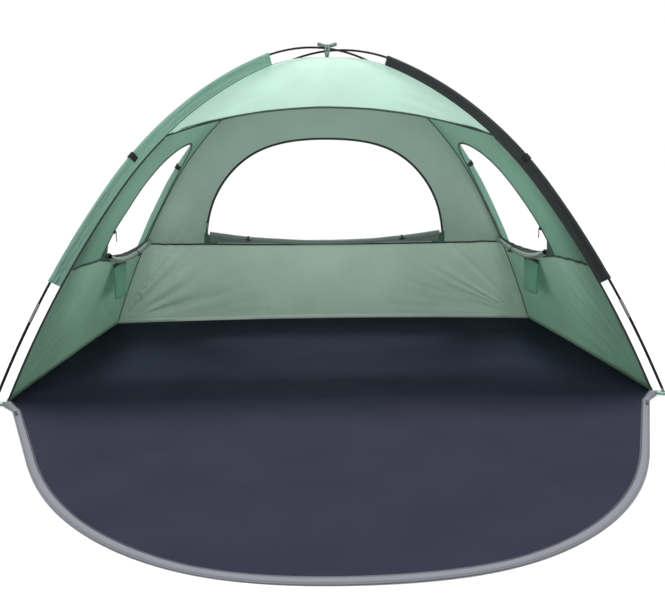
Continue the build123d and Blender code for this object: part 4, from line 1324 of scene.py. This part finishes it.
def make_crown_tie():
    """A tape sewn to the body, up round the crossing, tied in a bow with two loops and two tails."""
    top = CROWN + POLE_STACK + 0.0055
    apex = CROWN - SEAM_INSET
    heap = Heap()
    for sign in (-1, 1):
        for face in (-1, 1):
            strap = [(sign * 0.001, face * 0.003, apex + 0.001), (sign * 0.003, face * 0.0105, apex + 0.009),
                     (sign * 0.008, face * 0.0115, CROWN), (sign * 0.008, face * 0.007, top - 0.001),
                     (sign * 0.003, face * 0.001, top + 0.002)]
            add_ribbon(heap, strap, (1, 0, sign * -0.2), 0.0080)
        loop = [(0.002, -0.004, 0.003), (0.018, -0.007, 0.006), (0.033, -0.006, 0.011),
                (0.039, -0.001, 0.012), (0.034, 0.005, 0.010), (0.018, 0.005, 0.005), (0.002, 0.003, 0.002)]
        add_ribbon(heap, [(sign * x, y, top + z) for x, y, z in loop], (sign * -0.3, 0, 1), 0.0105)
        tail = [(0.001, -0.006, 0.004), (0.005, -0.0145, -0.003), (0.006, -0.0165, -0.016),
                (0.003, -0.0150, -0.034)]
        add_ribbon(heap, [(sign * x, y, top + z) for x, y, z in tail], (1, -0.4 * sign, 0.2), 0.0085)
    knot = [(-0.006, -0.002, 0.002), (-0.003, -0.007, 0.004), (0.003, -0.007, 0.004), (0.006, -0.002, 0.002),
            (0.003, 0.004, 0.004), (-0.003, 0.004, 0.005), (-0.006, -0.002, 0.0025)]
    knot = curve_through([(x, y, top + z) for x, y, z in knot], spacing=0.002)
    up = np.array((0, 0, 1.0))
    add_sweep(heap, knot, unit(np.cross(headings(knot), up)), up, circle(0.0028, 14, 0.0048))
    sew_on(heap.piece("crown_bow", [TIE_TAPE], sharp=60), "tie_tape", "crown_tie")
# Corner tabs --------------------------------------------------------------------------------------
def tab_line(eyelet_reach):
    """A tab seen from the side, as rows of (reach, height), and how far along it the eyelet is."""
    start, ring_reach, ring_height, fold = CORNER_REACH - 0.006, CORNER_REACH + 0.068, 0.0036, 0.0031
    top = curve_through([(start, 0.0030), (start + 0.012, 0.0066), (eyelet_reach - 0.008, 0.0090),
                         (eyelet_reach + 0.008, 0.0090), (ring_reach - 0.012, 0.0085),
                         (ring_reach, ring_height + fold)], spacing=0.0015)
    turn = [(ring_reach + fold * sin(t), ring_height + fold * cos(t)) for t in np.linspace(0.2, pi, 12)]
    back = [(ring_reach - 0.010, 0.0008), (ring_reach - 0.022, 0.0022)]
    line = even(np.vstack((top, turn, back)), 0.0015)
    return line, float(np.interp(eyelet_reach, line[:60, 0], run_lengths(line)[:60]))


def make_corner_tabs():
    """Webbing tabs: out from the floor's corner, over the eyelet, and round the peg ring's wire."""
    heap = Heap()
    for corner in CORNERS:
        outward, across = corner_axes(corner)
        line, hole_place = tab_line(EYELETS[corner])
        gaps, step = run_lengths(line), headings(line)

        def place(flat, lift):
            rows = (*line.T, *step.T)
            reach, height, along_reach, along_height = (np.interp(flat[:, 0], gaps, row) for row in rows)
            lift = lift + 0.0003 * np.sin(flat[:, 1] * 900)
            return (np.outer(reach - along_height * lift, outward) + np.outer(flat[:, 1], across)
                    + np.outer(height + along_reach * lift, (0, 0, 1)))

        hole = [(hole_place + x, y) for x, y in circle(EYELET_HOLE, 24)]
        half = TAB_WIDTH / 2
        outline = [(0, -half), (gaps[-1], -half), (gaps[-1], half), (0, half)]
        tab = cloth(f"corner_tab_{corner}", outline, place, MINT_WEBBING, [hole], TAB_THICK, 0.003)
        sew_on(tab, "webbing_mint", *(["corner_webbing_tabs"] if corner == "front_left" else []))
        box = [(0.008, -0.011), (0.030, -0.011), (0.030, 0.011), (0.008, 0.011)]
        seam = resample(box + [box[0], box[2]], 0.002, closed=False)
        seam = seam[np.hypot(seam[:, 0] - hole_place, seam[:, 1]) > 0.0095]
        points = place(seam, 0.0009)
        add_stitches(heap, points, place(seam, 0.0019) - points, number=0, pitch=0.0042)
    sew_on(heap.piece("corner_tab_stitching", [THREAD]), "webbing_mint")


def find_eyelets():
    """How far out along the diagonal each eyelet stands, from its node's own points."""
    points = np.array([tuple(v.co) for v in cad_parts["corner_eyelets"].data.vertices])
    found = {}
    for corner, azimuth in CORNERS.items():
        near = points[(points[:, 0] * cos(azimuth) > 0) & (points[:, 1] * sin(azimuth) > 0)]
        reach = np.hypot(near[:, 0], near[:, 1])
        found[corner] = float(reach.min() + reach.max()) / 2
    return found


EYELETS = find_eyelets()


# Finishes of the pieces that keep their shape -----------------------------------------------------
def finish_nodes():
    """Each carried-over CAD node gets the finish that its name calls for."""
    finishes = {
        "section": FIBREGLASS,
        "pole_ferrules": STEEL,
        "pole_tips": TIP_METAL,
        "corner_eyelets": EYELET_METAL,
        "peg_ring": RING_METAL,
        "toggle": BLACK_PLASTIC,
        "zip_sliders": ZIP_METAL,
        "zip_pull": ZIP_METAL,
    }
    for name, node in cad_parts.items():
        for key, material in finishes.items():
            if key in name:
                for place in node.material_slots:
                    place.material = material
                if not node.material_slots:
                    node.data.materials.append(material)
# Stage --------------------------------------------------------------------------------------------
def make_stage():
    """A plain pale floor."""
    finish = Finish("studio_floor", (0.94, 0.94, 0.94), 0.9, "object")
    cloud = finish.noise(0.7, 2.0)
    finish.mottle(cloud, (0.92, 0.92, 0.92))
    finish.rough(cloud, 0.03)
    size, below = 40.0, -0.0004
    corners = [(-size, -size, below), (size, -size, below), (size, size, below), (-size, size, below)]
    make_piece("ground", corners, [(0, 1, 2, 3)], [finish.material])
    bpy.context.scene.view_settings.view_transform = "Standard"


def make_world():
    """White backdrop behind the shelter and a soft top, with a dimmer studio round the rest."""
    world = bpy.data.worlds.new("studio")
    world.use_nodes = True
    tree = world.node_tree
    coords = tree.nodes.new("ShaderNodeTexCoord")
    split = tree.nodes.new("ShaderNodeSeparateXYZ")
    tree.links.new(coords.outputs["Generated"], split.inputs[0])
    total = tree.nodes.new("ShaderNodeMath")
    ramps = (("Y", 0.64, 0.80, 0.30, 1.02), ("Z", 0.30, 0.90, 0.0, 0.45))
    for socket, (axis, *limits) in zip(total.inputs, ramps):
        ramp = tree.nodes.new("ShaderNodeMapRange")
        for name, value in zip(RANGE_INPUTS, limits):
            ramp.inputs[name].default_value = value
        tree.links.new(split.outputs[axis], ramp.inputs["Value"])
        tree.links.new(ramp.outputs["Result"], socket)
    backdrop = tree.nodes["Background"]
    tree.links.new(total.outputs[0], backdrop.inputs["Strength"])
    backdrop.inputs["Color"].default_value = (1, 1, 1, 1)
    bpy.context.scene.world = world


def add_light(name, kind, place, aim, energy, size):
    """A light at a place, turned to its aim. The size is a sun's angle or an area's two sides."""
    data = bpy.data.lights.new(name, kind)
    data.energy = energy
    if kind == "SUN":
        data.angle = size
    else:
        data.shape = "RECTANGLE"
        data.size, data.size_y = size
    light = bpy.data.objects.new(name, data)
    light.location = place
    light.rotation_mode = "QUATERNION"
    light.rotation_quaternion = (Vector(aim) - Vector(place)).to_track_quat("-Z", "Y")
    light.visible_camera = False
    bpy.context.scene.collection.objects.link(light)


def make_camera():
    """The camera stands low in front, a little left of the middle, and looks slightly down."""
    place = (-0.0859, -2.8265, 0.7075)
    yaw, pitch, roll = radians(2.06), radians(-9.65), radians(-0.35)
    forward = Vector((sin(yaw) * cos(pitch), cos(yaw) * cos(pitch), sin(pitch)))
    right = forward.cross(Vector((0, 0, 1))).normalized()
    tilted = right * cos(roll) + right.cross(forward) * sin(roll)
    turn = Matrix((tilted, tilted.cross(forward), -forward)).transposed()
    data = bpy.data.cameras.new("camera")
    data.sensor_width = 36.0
    data.lens = 36.0
    camera = bpy.data.objects.new("camera", data)
    camera.matrix_world = Matrix.Translation(place) @ turn.to_4x4()
    bpy.context.scene.collection.objects.link(camera)
    bpy.context.scene.camera = camera


make_walls()
make_awning()
make_window_tapes()
make_zip_garages()
make_seam_tapes()
make_front_hems()
make_doorway_tapes()
make_floor()
make_wall_foot_hem()
make_porch()
make_sleeves()
make_guy_loops()
make_rolls()
make_cover_root()
make_cover_ties()
make_pockets()
make_crown_tie()
make_corner_tabs()
finish_nodes()
make_stage()
make_world()
add_light("overhead_sun", "SUN", (0, 1.35, 3.0), (0, 0, 0), 1.7, radians(20))
add_light("top_front", "AREA", (0, -1.9, 3.3), (0, -0.3, 0.8), 50.0, (1.6, 1.0))
add_light("inner_glow", "AREA", (0.0, -0.48, 0.36), (0, 0.66, 0.42), 5.5, (1.2, 0.30))
make_camera()
